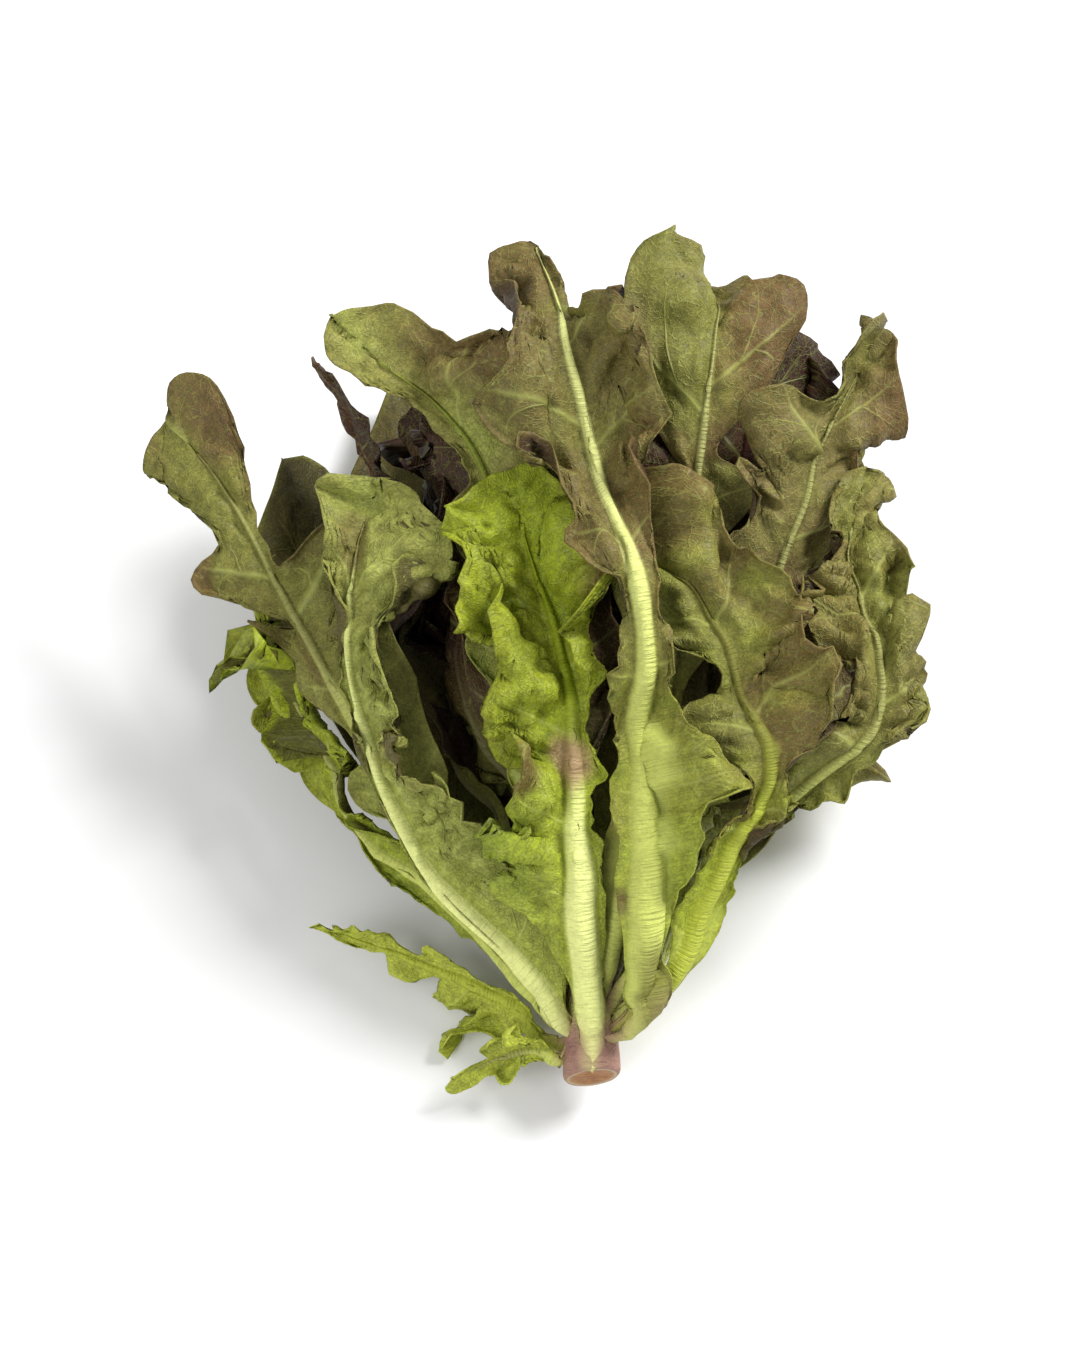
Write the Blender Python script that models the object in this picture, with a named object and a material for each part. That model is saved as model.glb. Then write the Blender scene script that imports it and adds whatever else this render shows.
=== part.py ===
"""A loose-leaf lettuce head with lobed leaves, lying on its side as it was picked.

The leaves are laid round the stem from the innermost to the outermost. Each one is first shaped
on its own: a rib in space, and a blade that spreads from the rib in rays and wraps round the
head. It is then pushed out from the head's axis until it clears what is already laid, so that
no leaf crosses another. Lengths are in millimetres until the meshes are made.
"""

import math
from collections import namedtuple

import bmesh
import bpy
import numpy as np
from mathutils import Matrix, Vector

MM = 0.001

# The stem: a cut stump that goes on up inside the leaves and ends in a slim growing tip.
STEM_RADIUS = 9.5
STEM_NECK_RADIUS = 8.6
STEM_NECK_AT = 14.0
STEM_STALK_RADIUS = 5.5
STEM_STALK_AT = 52.0
STEM_TIP_RADIUS = 1.2
STEM_LENGTH = 94.0
STEM_SIDES = 20
STEM_RINGS = (0.0, 3.0, 8.0, STEM_NECK_AT, 24.0, 34.0, 44.0, STEM_STALK_AT, 66.0, 80.0, STEM_LENGTH)

# The leaves that are placed by rule, from the youngest out. For each kind: where the first one
# starts along the axis, its length, how far out it reaches, the size of its lobes, and how much
# each of these changes from one leaf to the next. A curve gives how far out a leaf may reach.
YOUNG_LEAVES = 7
YOUNG_FIRST = (60.0, 84.0, 0.16, 24.0)
YOUNG_CHANGE = (2.0, 9.0, 0.05, 1.0)
YOUNG_WAVE = 3.0
INNER_LEAVES = 10
INNER_FIRST = (49.0, 142.0, 0.46, 43.0)
INNER_CHANGE = (-2.0, 5.5, 0.05, 0.0)
INNER_WAVE = 5.0
GOLDEN_ANGLE = math.radians(137.508)
RULE_SHARES = (0.0, 0.15, 0.35, 0.6, 0.8, 1.0)
RULE_LOBES = (0.44, 0.66, 0.87)
RULE_LOBE_LEAST, RULE_LOBE_GROWS, RULE_LOBE_VARIES = 0.78, 0.12, 0.1
RULE_TIP = 0.55
RULE_PETIOLE = 5.0
RULE_RIB = (4.5, 2.6)
RULE_BEND = 0.1
OUT_NEAR, OUT_FAR, OUT_AT, OUT_POWER = 8.0, 80.0, 200.0, 0.85
OUT_START_POWER = 0.6

# The lying head: how far it is pressed flat, how its axis rises from the stump, and how its
# underside is pressed against the floor.
FLATTENED = 0.52
FLATTENED_FROM = 110.0
AXIS_RISE = math.radians(11.0)
UNDERSIDE = -11.0
UNDERSIDE_PRESSED = 0.6
UNDERSIDE_SOFT = 1.5
FLOOR = -16.3

# The sway of the leaf mass, growing along the head and less on its underside: each wave is its
# height and then how far it turns for a millimetre across, along and out, and where it starts.
SWAY_FROM = 40.0
SWAY_REACH = 160.0
SWAY_DEPTH = 50.0
SWAY_ACROSS = ((2.5, 0.0, 0.038, 0.032, 0.0), (1.5, 0.0, -0.025, 0.053, 0.0))
SWAY_ALONG = ((2.0, 0.048, 0.0, 0.029, 0.0),)
SWAY_OUT = ((1.5, 0.042, -0.034, 0.0, 2.4), (-1.5, 0.042, 0.034, 0.0, 2.4), (1.5, 0.077, -0.045, 0.0, 0.0))

# The sheets: their thickness, the room between one and the next, and how softly they rise over it.
BLADE = 0.9
ROOM_AT_STEM = 1.15
ROOM_AT_TIPS = 2.8
ROOM_REACH = 110.0
SOFT_AT_STEM = 0.3
SOFT_AT_TIPS = 1.5
LEAST_FACING = 0.85

# Where a solid's points lie across a blade: 0 is the rib's middle, 1 its edge, 2 the blade's edge.
YOUNG_COLUMNS = (0.0, 1.0, 2.0)
LEAF_COLUMNS = (0.0, 1.0, 1.5, 2.0)
FINE_COLUMNS = (0.0, 0.35, 0.7, 1.0, 1.2, 1.4, 1.6, 1.8, 2.0)
FINE_RAYS = 33

# The rays of a blade: the angle off the rib at its base, and how late it turns to the tip.
RAY_ANGLE = math.radians(70.0)
RAY_TURN = 9.0
FRAME_RELAX = 45.0
RIB_SAMPLES = 120
RIB_SPREAD = 4
RIB_FREE = 30.0
RIB_TIP_HALF_WIDTH = 1.0
RIB_NARROWS = 1.3
RIB_FADE = 0.85
LEAST_WRAP_RADIUS = 12.0

# The outline of a blade: the notch between two lobes, as a share of the shorter one, then the
# shape of a lobe and of the tip.
PETIOLE_AT = 0.08
PETIOLE_GROWN = 1.5
NOTCH = 0.62
NOTCH_LEAST = 2.0
LOBE_HALF = 0.27
LOBE_LOW, LOBE_HIGH = 0.9, 0.88
TIP_STATIONS = (0.62, 0.3, 0.0)
TIP_REACH = (0.92, 1.1, 0.92)
TIP_NECK = 6.0
TIP_LOBE_PAST = 0.3

# The waves along a blade's edge: how far they turn over the rib's length, and their heights.
WAVE_TURN, RIPPLE_TURN = 17.0, 29.0
WAVE_RIPPLE = 0.6
WAVE_LIFT = 0.8
WAVE_GROWN = 0.45

# The pile: the radius of what is laid, on a grid of length along the axis and angle round it.
PILE_LOW = -30.0
PILE_HIGH = 330.0
PILE_CELL = 2.0
PILE_ANGLES = 180
OVERSAMPLE = 8
SETTLE_ROUNDS = 8
SOFT_LIMIT = 4.0

COLOURS = {
    "stem": (0.42, 0.33, 0.20, 0.6),
    "leaf_young": (0.20, 0.24, 0.06, 0.55),
    "leaf": (0.20, 0.20, 0.065, 0.6),
    "leaf_bright": (0.20, 0.28, 0.03, 0.55),
}

UP, DOWN = 0.0, math.pi

# A leaf: its rib as points (across, along, out) in the head's own frame, the half width of its
# petiole, its lobes as (place along the rib, left length, right length), the length past the
# rib's end, the rib's half width and height at its base, the height of its waves, how closely
# it wraps round the head, the way it faces where it doesn't, how far its edges flare out, its
# phase and its colour.
Leaf = namedtuple("Leaf", "name rib petiole lobes tip rib_size wave wrap faces flare phase colour")

UNDER_LEAVES = [
    Leaf(
        "leaf_under_left",
        [(-9, 21, -4), (-40, 70, -12), (-68, 122, -18), (-84, 160, -22), (-92, 188, -24)],
        6, [(0.4, 32, 32), (0.62, 40, 42), (0.84, 34, 36)], 24, (5, 3), 3.0, 0.7, DOWN, 1.0, 0.6, "leaf",
    ),
    Leaf(
        "leaf_under_right",
        [(9, 21, -4), (40, 74, -10), (60, 124, -14), (70, 160, -16), (76, 190, -18)],
        6, [(0.4, 32, 32), (0.62, 40, 38), (0.84, 36, 32)], 24, (5, 3), 3.0, 0.7, DOWN, 1.0, 2.1, "leaf",
    ),
    Leaf(
        "leaf_under_mid_left",
        [(-5, 18, -9), (-22, 76, -27), (-38, 140, -38), (-50, 185, -44), (-56, 220, -48)],
        6, [(0.4, 34, 32), (0.62, 42, 40), (0.84, 38, 36)], 24, (5, 3), 2.0, 0.9, DOWN, 0.5, 3.3, "leaf",
    ),
    Leaf(
        "leaf_under_mid_right",
        [(6, 18, -8), (24, 76, -27), (38, 140, -37), (46, 185, -43), (50, 216, -47)],
        6, [(0.4, 32, 34), (0.62, 40, 40), (0.84, 36, 38)], 24, (5, 3), 2.0, 0.9, DOWN, 0.5, 4.6, "leaf",
    ),
    Leaf(
        "leaf_under_middle",
        [(1, 15, -11), (3, 70, -30), (2, 140, -42), (0, 190, -50), (-2, 226, -55)],
        6, [(0.4, 34, 34), (0.62, 42, 42), (0.84, 38, 38)], 24, (6, 1.2), 1.5, 0.9, DOWN, 0.0, 5.5, "leaf",
    ),
]

SHOWN_LEAVES = [
    Leaf(
        "leaf_upper_left",
        [(-5, 30, 8), (-16, 90, 24), (-26, 150, 32), (-36, 190, 35), (-50, 214, 35), (-68, 228, 32)],
        6, [(0.42, 26, 28), (0.62, 36, 38), (0.83, 34, 36)], 22, (5, 3), 3.5, 0.8, UP, 1.0, 0.4, "leaf",
    ),
    Leaf(
        "leaf_top",
        [
            (4, 30, 9), (17, 80, 25), (30, 130, 33), (36, 180, 37),
            (36, 214, 35), (38, 240, 30), (42, 256, 25),
        ],
        6, [(0.42, 24, 24), (0.62, 32, 30), (0.83, 46, 42)], 26, (5, 3), 3.5, 0.8, UP, 1.0, 1.9, "leaf",
    ),
    Leaf(
        "leaf_upper_right",
        [(8, 28, 7), (28, 80, 20), (44, 130, 27), (52, 170, 31), (57, 205, 30), (64, 226, 27)],
        6, [(0.42, 26, 28), (0.64, 36, 34), (0.85, 36, 34)], 22, (5, 3), 4.0, 0.7, UP, 1.0, 3.1, "leaf",
    ),
    Leaf(
        "leaf_far_left",
        [
            (-9, 22, 0), (-34, 56, 6), (-64, 98, 12), (-88, 137, 17),
            (-105, 163, 19), (-119, 184, 19), (-129, 198, 18),
        ],
        6, [(0.38, 20, 28), (0.57, 24, 40), (0.75, 28, 42), (0.92, 28, 30)],
        20, (5, 3), 4.0, 0.25, UP, 1.0, 4.4, "leaf",
    ),
    Leaf(
        "leaf_right",
        [
            (9, 17, 4), (23, 42, 9), (34, 64, 14), (44, 92, 19),
            (52, 122, 23), (56, 150, 25), (57, 172, 25),
        ],
        6, [(0.36, 26, 18), (0.56, 32, 26), (0.78, 34, 30)], 22, (6, 3.5), 3.5, 0.7, UP, 0.5, 5.2, "leaf",
    ),
    Leaf(
        "leaf_folded_right",
        [
            (8, 20, 6), (21, 46, 14), (29, 78, 22), (33, 106, 29),
            (33, 130, 35), (26, 148, 40), (13, 156, 43),
        ],
        5, [(0.38, 16, 16), (0.58, 24, 24), (0.8, 30, 28)], 26, (5, 3), 3.5, 0.4, UP, 1.0, 0.9, "leaf",
    ),
    Leaf(
        "leaf_low_left",
        [(-10, 18, -2), (-42, 52, -4), (-70, 86, -2), (-90, 116, 1), (-100, 138, 3), (-106, 154, 4)],
        6, [(0.34, 18, 14), (0.57, 28, 22), (0.8, 30, 28)], 24, (6, 3.5), 3.5, 0.6, UP, 1.0, 2.7, "leaf",
    ),
    Leaf(
        "leaf_left",
        [
            (-10, 16, 4), (-29, 39, 10), (-48, 60, 14), (-62, 86, 19),
            (-71, 114, 24), (-75, 137, 27), (-74, 158, 29), (-70, 174, 29),
        ],
        7, [(0.22, 9, 24), (0.4, 11, 34), (0.57, 12, 36), (0.73, 14, 32), (0.88, 22, 36)],
        20, (6.5, 4), 3.0, 0.6, UP, 0.0, 1.3, "leaf",
    ),
    Leaf(
        "leaf_front",
        [
            (0, 14, 10), (-3, 45, 20), (-5, 82, 30), (-5, 108, 35),
            (-9, 132, 36), (-16, 154, 35), (-20, 170, 34),
        ],
        8, [(0.3, 10, 9), (0.48, 22, 10), (0.67, 30, 14), (0.86, 34, 24)],
        20, (7, 4.5), 4.0, 0.8, UP, 0.0, 3.8, "leaf_bright",
    ),
    Leaf(
        "leaf_tall",
        [
            (10, 15, 8), (16, 52, 22), (17, 92, 33), (14, 121, 40), (9, 148, 43),
            (1, 182, 45), (-4, 213, 43), (-9, 240, 38), (-15, 257, 33),
        ],
        8, [(0.28, 10, 14), (0.45, 20, 17), (0.62, 18, 22), (0.8, 42, 28)],
        20, (7, 4.5), 3.5, 0.8, UP, 0.5, 5.7, "leaf",
    ),
    Leaf(
        "leaf_torn_left",
        [(-10, 12, -3), (-28, 23, -9), (-47, 33, -12), (-66, 42, -14), (-83, 49, -15)],
        5, [(0.35, 15, 8), (0.6, 18, 10), (0.82, 16, 14)], 12, (4, 2), 2.0, 0.3, UP, 0.0, 0.2, "leaf_bright",
    ),
    Leaf(
        "leaf_torn_low",
        [(-11, 7, 1), (-22, 10, 0), (-35, 10, -2), (-48, 5, -4)],
        3.5, [(0.4, 8, 6), (0.75, 11, 11)], 10, (3, 2), 1.5, 0.3, UP, 0.0, 2.2, "leaf_bright",
    ),
]


def smooth_step(value):
    value = np.clip(value, 0.0, 1.0)
    return value * value * (3.0 - 2.0 * value)


def softened(values, times):
    """A line of values, each smoothed with its neighbours a number of times."""
    for _ in range(times):
        values = np.convolve(np.pad(values, 1, mode="edge"), (0.25, 0.5, 0.25), mode="valid")
    return values


def through(points, count):
    """A smooth curve through the points, as count points evenly apart along it."""
    points = np.asarray(points, float)
    padded = np.vstack([2 * points[0] - points[1], points, 2 * points[-1] - points[-2]])
    curve = []
    for a, b, c, d in zip(padded, padded[1:], padded[2:], padded[3:]):
        for t in np.linspace(0.0, 1.0, 16, endpoint=False):
            bend = (2 * a - 5 * b + 4 * c - d) * t**2 + (3 * b - a - 3 * c + d) * t**3
            curve.append(0.5 * (2 * b + (c - a) * t + bend))
    curve = np.array([*curve, points[-1]])
    length = arc_length(curve)
    at = np.linspace(0.0, length[-1], count)
    return np.stack([np.interp(at, length, curve[:, k]) for k in range(3)], axis=1)


def arc_length(points):
    return np.concatenate([[0.0], np.cumsum(np.linalg.norm(np.diff(points, axis=0), axis=1))])


def off_axis(points):
    return np.hypot(points[..., 0], points[..., 2])


def pushed_out(points, distance):
    """The points, moved away from the head's axis by a distance each."""
    factor = 1.0 + distance / np.maximum(off_axis(points), 1e-6)
    return points * np.stack([factor, np.ones_like(factor), factor], axis=-1)


def flattening(along):
    """How much of its round depth the lying head keeps, at a length along its axis."""
    return 1.0 + (FLATTENED - 1.0) * smooth_step(along / FLATTENED_FROM)


def stem_radius(along):
    """The stem's radius, swollen a little at the cut and tapering to its growing tip."""
    neck = STEM_NECK_RADIUS + (STEM_RADIUS - STEM_NECK_RADIUS) * (1.0 - smooth_step(along / STEM_NECK_AT))
    to_stalk = smooth_step((along - STEM_NECK_AT) / (STEM_STALK_AT - STEM_NECK_AT))
    to_tip = np.clip((along - STEM_STALK_AT) / (STEM_LENGTH - STEM_STALK_AT), 0.0, 1.0)
    stalk = neck + (STEM_STALK_RADIUS - STEM_NECK_RADIUS) * to_stalk
    return stalk + (STEM_TIP_RADIUS - STEM_STALK_RADIUS) * to_tip


def growing(at_stem, at_tips, along):
    """A value that grows from the stem out to the tips."""
    return at_stem + (at_tips - at_stem) * smooth_step(along / ROOM_REACH)


def to_round(points):
    """Points of the flattened head's frame, moved to the round head that leaves are laid in."""
    points = np.array(points, float)
    points[..., 2] /= flattening(points[..., 1])
    return points


def sway(waves, x, y, z):
    return sum(height * np.sin(x * a + y * b + z * c + start) for height, a, b, c, start in waves)


def to_lying(points):
    """Points of the round head, pressed flat, swayed, turned as the head lies and pressed down."""
    x, y, z = points[..., 0], points[..., 1], points[..., 2] * flattening(points[..., 1])
    grown = smooth_step((y - SWAY_FROM) / SWAY_REACH)
    x, y, z = (
        x + grown * sway(SWAY_ACROSS, x, y, z),
        y + grown * sway(SWAY_ALONG, x, y, z),
        z + grown * smooth_step(1.0 + z / SWAY_DEPTH) * sway(SWAY_OUT, x, y, z),
    )
    rise, run = math.sin(AXIS_RISE), math.cos(AXIS_RISE)
    y, z = y * run - z * rise, y * rise + z * run
    z = z + (1.0 - UNDERSIDE_PRESSED) * (soft_least(z, UNDERSIDE, UNDERSIDE_SOFT) - z)
    return np.stack([x, y, z], axis=-1)


def soft_least(value, least, soft):
    """The greater of a value and the least one, with a soft change between the two."""
    over = (value - least) / soft
    rounded = np.log1p(np.exp(np.clip(over, -2.0 * SOFT_LIMIT, SOFT_LIMIT)))
    return least + soft * np.where(over > SOFT_LIMIT, over, rounded)


def stations_of(leaf):
    """Places along the rib where rays leave it, with the left and right lengths of the rays."""
    places, left, right = [0.0, PETIOLE_AT], [leaf.petiole] * 2, [leaf.petiole] * 2
    gap = leaf.lobes[1][0] - leaf.lobes[0][0]
    before = (leaf.lobes[0][0] - gap, leaf.petiole * PETIOLE_GROWN, leaf.petiole * PETIOLE_GROWN)
    after = (1.0 + TIP_LOBE_PAST * (1.0 - leaf.lobes[-1][0]), leaf.tip, leaf.tip)
    chain = [before, *leaf.lobes, after]
    for i in range(1, len(chain) - 1):
        place, reach_left, reach_right = chain[i]
        half = LOBE_HALF * min(place - chain[i - 1][0], chain[i + 1][0] - place)
        places += [0.5 * (place + chain[i - 1][0]), place - half, place, place + half]
        for reaches, reach, reach_before in (
            (left, reach_left, chain[i - 1][1]),
            (right, reach_right, chain[i - 1][2]),
        ):
            notch = NOTCH * min(reach, reach_before) + NOTCH_LEAST
            reaches += [notch, reach * LOBE_LOW, reach, reach * LOBE_HIGH]
    end = 1.0 - places[-1]
    places += [1.0 - share * end for share in TIP_STATIONS]
    for reaches in (left, right):
        neck = TIP_REACH[0] * min(reaches[-1], leaf.tip + TIP_NECK)
        reaches += [neck, leaf.tip * TIP_REACH[1], leaf.tip * TIP_REACH[2]]
    return np.array(places), np.array(left), np.array(right)


def eased(at, places, values):
    """Values between stations, rounded at each station."""
    index = np.clip(np.searchsorted(places, at, side="right") - 1, 0, len(places) - 2)
    share = smooth_step((at - places[index]) / (places[index + 1] - places[index]))
    return values[index] + (values[index + 1] - values[index]) * share


def rib_frame(leaf, pile):
    """The rib, laid on the pile, with at each point its direction, the way right and the way out."""
    rib = through(to_round(leaf.rib), RIB_SAMPLES)
    lack = np.maximum(pile.lowest(rib) + BLADE / 2 - off_axis(rib), 0.0)
    far = lack
    for _ in range(RIB_SPREAD):
        padded = np.pad(far, 1, mode="edge")
        far = np.maximum(far, np.maximum(padded[2:], padded[:-2]))
    near, far = softened(lack, 1), softened(far, RIB_SPREAD * 2)
    rib = pushed_out(rib, near + (far - near) * smooth_step(arc_length(rib) / RIB_FREE))
    along = np.gradient(rib, axis=0)
    pace = np.linalg.norm(along, axis=1)
    along /= pace[:, None]
    angle = np.arctan2(rib[:, 0], rib[:, 2]) - leaf.faces
    angle = leaf.faces + leaf.wrap * ((angle + math.pi) % (2 * math.pi) - math.pi)
    round_way = np.stack([np.cos(angle), np.zeros_like(angle), -np.sin(angle)], axis=1)
    right = np.empty_like(rib)
    way = round_way[0]
    for i in range(RIB_SAMPLES):
        way = way + round_way[i] * min(1.0, pace[i] / FRAME_RELAX)
        way = way - np.dot(way, along[i]) * along[i]
        way /= np.linalg.norm(way)
        right[i] = way
    return rib, along, right, np.cross(right, along)


def rib_half_width(leaf, at):
    return RIB_TIP_HALF_WIDTH + (leaf.rib_size[0] - RIB_TIP_HALF_WIDTH) * (1.0 - at) ** RIB_NARROWS


def rib_height(leaf, at, off_rib):
    """How far the rib stands out of the blade, at a place along it and a distance off it."""
    share = off_rib / rib_half_width(leaf, at)
    return leaf.rib_size[1] * (1.0 - RIB_FADE * at) * np.clip(1.0 - share**2, 0.0, 1.0)


def sheet_of(leaf, stations, columns, pile):
    """The blade's middle layer, laid on the pile, and how far the outer face rises off it: one
    row of points for each ray, from the left of the base round the tip to the right, each row
    from the rib to the edge."""
    places, left, right = stations_of(leaf)
    columns = np.array(columns)
    at = np.concatenate([stations, stations[-2::-1]])
    side = np.concatenate([-np.ones(len(stations)), np.ones(len(stations) - 1)])
    edge = rib_half_width(leaf, at)
    reach = np.maximum(np.where(side < 0, eased(at, places, left), eased(at, places, right)), edge + 1.0)
    ray = RAY_ANGLE * (1.0 - at**RAY_TURN)
    rib, along, sideways, out = (
        np.stack([np.interp(at, np.linspace(0, 1, RIB_SAMPLES), line[:, k]) for k in range(3)], axis=1)
        for line in rib_frame(leaf, pile)
    )
    on_rib, on_blade = np.minimum(columns, 1.0), np.maximum(columns - 1.0, 0.0)
    off = edge[:, None] * on_rib + (reach - edge)[:, None] * on_blade
    off_sideways = off * np.sin(ray)[:, None]
    turn = leaf.wrap / np.maximum(off_axis(rib), LEAST_WRAP_RADIUS)[:, None] * off_sideways
    across = np.sinc(turn / math.pi) * off_sideways * side[:, None]
    drop = -np.sinc(turn / 2 / math.pi) ** 2 * turn * off_sideways / 2
    wave = np.sin(WAVE_TURN * at + leaf.phase + side)
    wave = wave + WAVE_RIPPLE * np.sin(RIPPLE_TURN * at + 2.0 * leaf.phase + 2.5 * side)
    lift = (leaf.wave * (WAVE_LIFT + wave) + leaf.flare) * smooth_step(at / WAVE_GROWN)
    points = (
        rib[:, None, :]
        + (off * np.cos(ray)[:, None])[..., None] * along[:, None, :]
        + across[..., None] * sideways[:, None, :]
        + (drop + lift[:, None] * (off / reach[:, None]) ** 2)[..., None] * out[:, None, :]
    )
    rise = rib_height(leaf, at[:, None], off)
    return pile.settled(pile.laid(points), rise), rise


class Pile:
    """How far out from the head's axis the leaves already laid reach."""

    def __init__(self):
        self.along = np.arange(PILE_LOW, PILE_HIGH, PILE_CELL)
        self.radius = np.repeat(stem_radius(self.along)[:, None], PILE_ANGLES, axis=1)
        self.cover = self.radius.copy()

    def place(self, points):
        """Where points are on the grid, in cells."""
        row = (points[..., 1] - PILE_LOW) / PILE_CELL
        column = np.arctan2(points[..., 0], points[..., 2]) / (2 * math.pi) * PILE_ANGLES
        return np.clip(row, 0.0, len(self.along) - 1.001), column % PILE_ANGLES

    def lowest(self, points):
        """The least distance from the axis at which points clear the pile."""
        row, column = self.place(points)
        r0, c0 = row.astype(int), column.astype(int)
        fr, fc = row - r0, column - c0
        r1, c1, c0 = r0 + 1, (c0 + 1) % PILE_ANGLES, c0 % PILE_ANGLES
        near = self.cover[r0, c0] * (1 - fr) + self.cover[r1, c0] * fr
        next_to = self.cover[r0, c1] * (1 - fr) + self.cover[r1, c1] * fr
        return near * (1 - fc) + next_to * fc + growing(ROOM_AT_STEM, ROOM_AT_TIPS, points[..., 1])

    def laid(self, points):
        """The points, pushed out from the axis until they clear the pile."""
        lowest = self.lowest(points) + BLADE / 2
        soft = growing(SOFT_AT_STEM, SOFT_AT_TIPS, points[..., 1])
        return pushed_out(points, soft_least(off_axis(points), lowest, soft) - off_axis(points))

    def settled(self, points, rise):
        """The sheet, raised until its faces, and not only its points, clear the pile."""
        for _ in range(SETTLE_ROUNDS):
            inner, outer = faces_of(points, rise)
            lack = np.maximum(self.lowest(inner) - off_axis(inner), self.lowest(outer) - off_axis(outer))
            lack = highest_near_points(lack)
            lack[:, 0] = np.maximum(lack[:, 0], lack[::-1, 0])
            if lack.max() <= 0.0:
                break
            points = pushed_out(points, np.maximum(lack, 0.0))
        return points

    def add(self, points, rise):
        """Lays a sheet, whose outer face stands off its middle layer by rise, on the pile."""
        for face in faces_of(points, rise):
            row, column = self.place(face)
            cells = np.rint(row).astype(int).ravel(), np.rint(column).astype(int).ravel() % PILE_ANGLES
            np.maximum.at(self.radius, cells, off_axis(face).ravel())
        self.cover = blurred(spread(self.radius))


def faces_of(points, rise):
    """The inner and outer faces of a sheet, as many points in the round head's frame: they are a
    blade's thickness apart once the head is pressed flat."""
    ones = np.ones(points.shape[:2])
    pressed = points * np.stack([ones, ones, flattening(points[..., 1])], axis=-1)
    inner, outer = thickened(pressed, rise)
    return to_round(oversampled(inner)), to_round(oversampled(outer))


def thickened(points, rise):
    """The inner and outer faces of a sheet, half a blade's thickness to each side of its points."""
    number = point_numbers(*points.shape[:2])
    middle = np.zeros((number.max() + 1, 3))
    middle[number.ravel()] = points.reshape(-1, 3)
    normal, half = point_normals(middle, triangles_of(number))
    normal, half = normal[number], half[number][..., None]
    return points - normal * half, points + normal * (half + rise[..., None])


def highest_near_points(fine):
    """For each point of a coarse grid, the highest value of the fine one on the faces round it."""
    padded = np.pad(fine, OVERSAMPLE, mode="edge")
    highest = np.full(fine[::OVERSAMPLE, ::OVERSAMPLE].shape, -np.inf)
    for i in range(2 * OVERSAMPLE + 1):
        for j in range(2 * OVERSAMPLE + 1):
            shifted = padded[i : i + fine.shape[0], j : j + fine.shape[1]]
            highest = np.maximum(highest, shifted[::OVERSAMPLE, ::OVERSAMPLE])
    return highest


def oversampled(grid):
    """A grid with OVERSAMPLE steps between neighbours each way, on the triangles of its solid."""
    i, u = steps_between(grid.shape[0])
    j, v = steps_between(grid.shape[1])
    a, b = grid[i][:, j], grid[i + 1][:, j]
    d, c = grid[i][:, j + 1], grid[i + 1][:, j + 1]
    u, v = u[:, None, None], v[None, :, None]
    by_ac = np.where(u >= v, a + u * (b - a) + v * (c - b), a + v * (d - a) + u * (c - d))
    by_bd = np.where(u + v <= 1, a + u * (b - a) + v * (d - a), c + (1 - u) * (d - c) + (1 - v) * (b - c))
    return np.where(split_by_ac(i[:, None], j[None, :], grid.shape[0] // 2)[..., None], by_ac, by_bd)


def steps_between(count):
    """For each step of a finer line, the point before it and how far on to the next it is."""
    at = np.linspace(0, count - 1, (count - 1) * OVERSAMPLE + 1)
    before = np.minimum(at.astype(int), count - 2)
    return before, at - before


def split_by_ac(ray, column, last):
    """Whether a quad of the sheet is split from its first corner. The rays on the two sides of
    the rib are split as in a mirror, and beside the rib's end so that no triangle is doubled."""
    return (ray < last) == (column % 2 == 1)


def spread(grid):
    """The highest value in each cell and the ones next to it."""
    grid = np.maximum(grid, np.maximum(np.roll(grid, 1, 1), np.roll(grid, -1, 1)))
    padded = np.pad(grid, ((1, 1), (0, 0)), mode="edge")
    return np.maximum(padded[1:-1], np.maximum(padded[:-2], padded[2:]))


def blurred(grid):
    grid = (np.roll(grid, 1, 1) + 2 * grid + np.roll(grid, -1, 1)) / 4
    padded = np.pad(grid, ((1, 1), (0, 0)), mode="edge")
    return (padded[:-2] + 2 * padded[1:-1] + padded[2:]) / 4


def rule_leaf(name, number, size, wave, colour):
    """A leaf placed by rule: each next one a golden angle on round the stem. Its size is where it
    starts, its length, how far out it reaches and how long its lobes are."""
    start, length, fullness, lobe = size
    rib = []
    for share in RULE_SHARES:
        along = start + length * share
        out = fullness * (OUT_NEAR + OUT_FAR * (along / OUT_AT) ** OUT_POWER) * share**OUT_START_POWER
        radius = stem_radius(along) + out
        turn = number * GOLDEN_ANGLE + RULE_BEND * math.sin(2.0 * share + 1.7 * number)
        rib.append((radius * math.sin(turn), along, radius * math.cos(turn) * flattening(along)))
    lobes = []
    for k, place in enumerate(RULE_LOBES):
        usual = RULE_LOBE_LEAST + RULE_LOBE_GROWS * k
        vary = RULE_LOBE_VARIES * math.sin(2.3 * number + 1.9 * k)
        lobes.append((place, lobe * (usual + vary), lobe * (usual - vary)))
    phase = 1.3 * number
    return Leaf(name, rib, RULE_PETIOLE, lobes, lobe * RULE_TIP, RULE_RIB, wave, 1.0, UP, 1.0, phase, colour)


def sizes_of(first, change, count):
    return [[value + step * k for value, step in zip(first, change)] for k in range(count)]


def young_leaves():
    """The youngest leaves, each next one longer and further out."""
    return [
        rule_leaf(f"leaf_young_{k + 1}", k, size, YOUNG_WAVE, "leaf_young")
        for k, size in enumerate(sizes_of(YOUNG_FIRST, YOUNG_CHANGE, YOUNG_LEAVES))
    ]


def inner_leaves():
    """The full-grown leaves inside the head, going on from the youngest."""
    return [
        rule_leaf(f"leaf_inner_{k + 1:02d}", k + YOUNG_LEAVES, size, INNER_WAVE, "leaf")
        for k, size in enumerate(sizes_of(INNER_FIRST, INNER_CHANGE, INNER_LEAVES))
    ]


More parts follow.
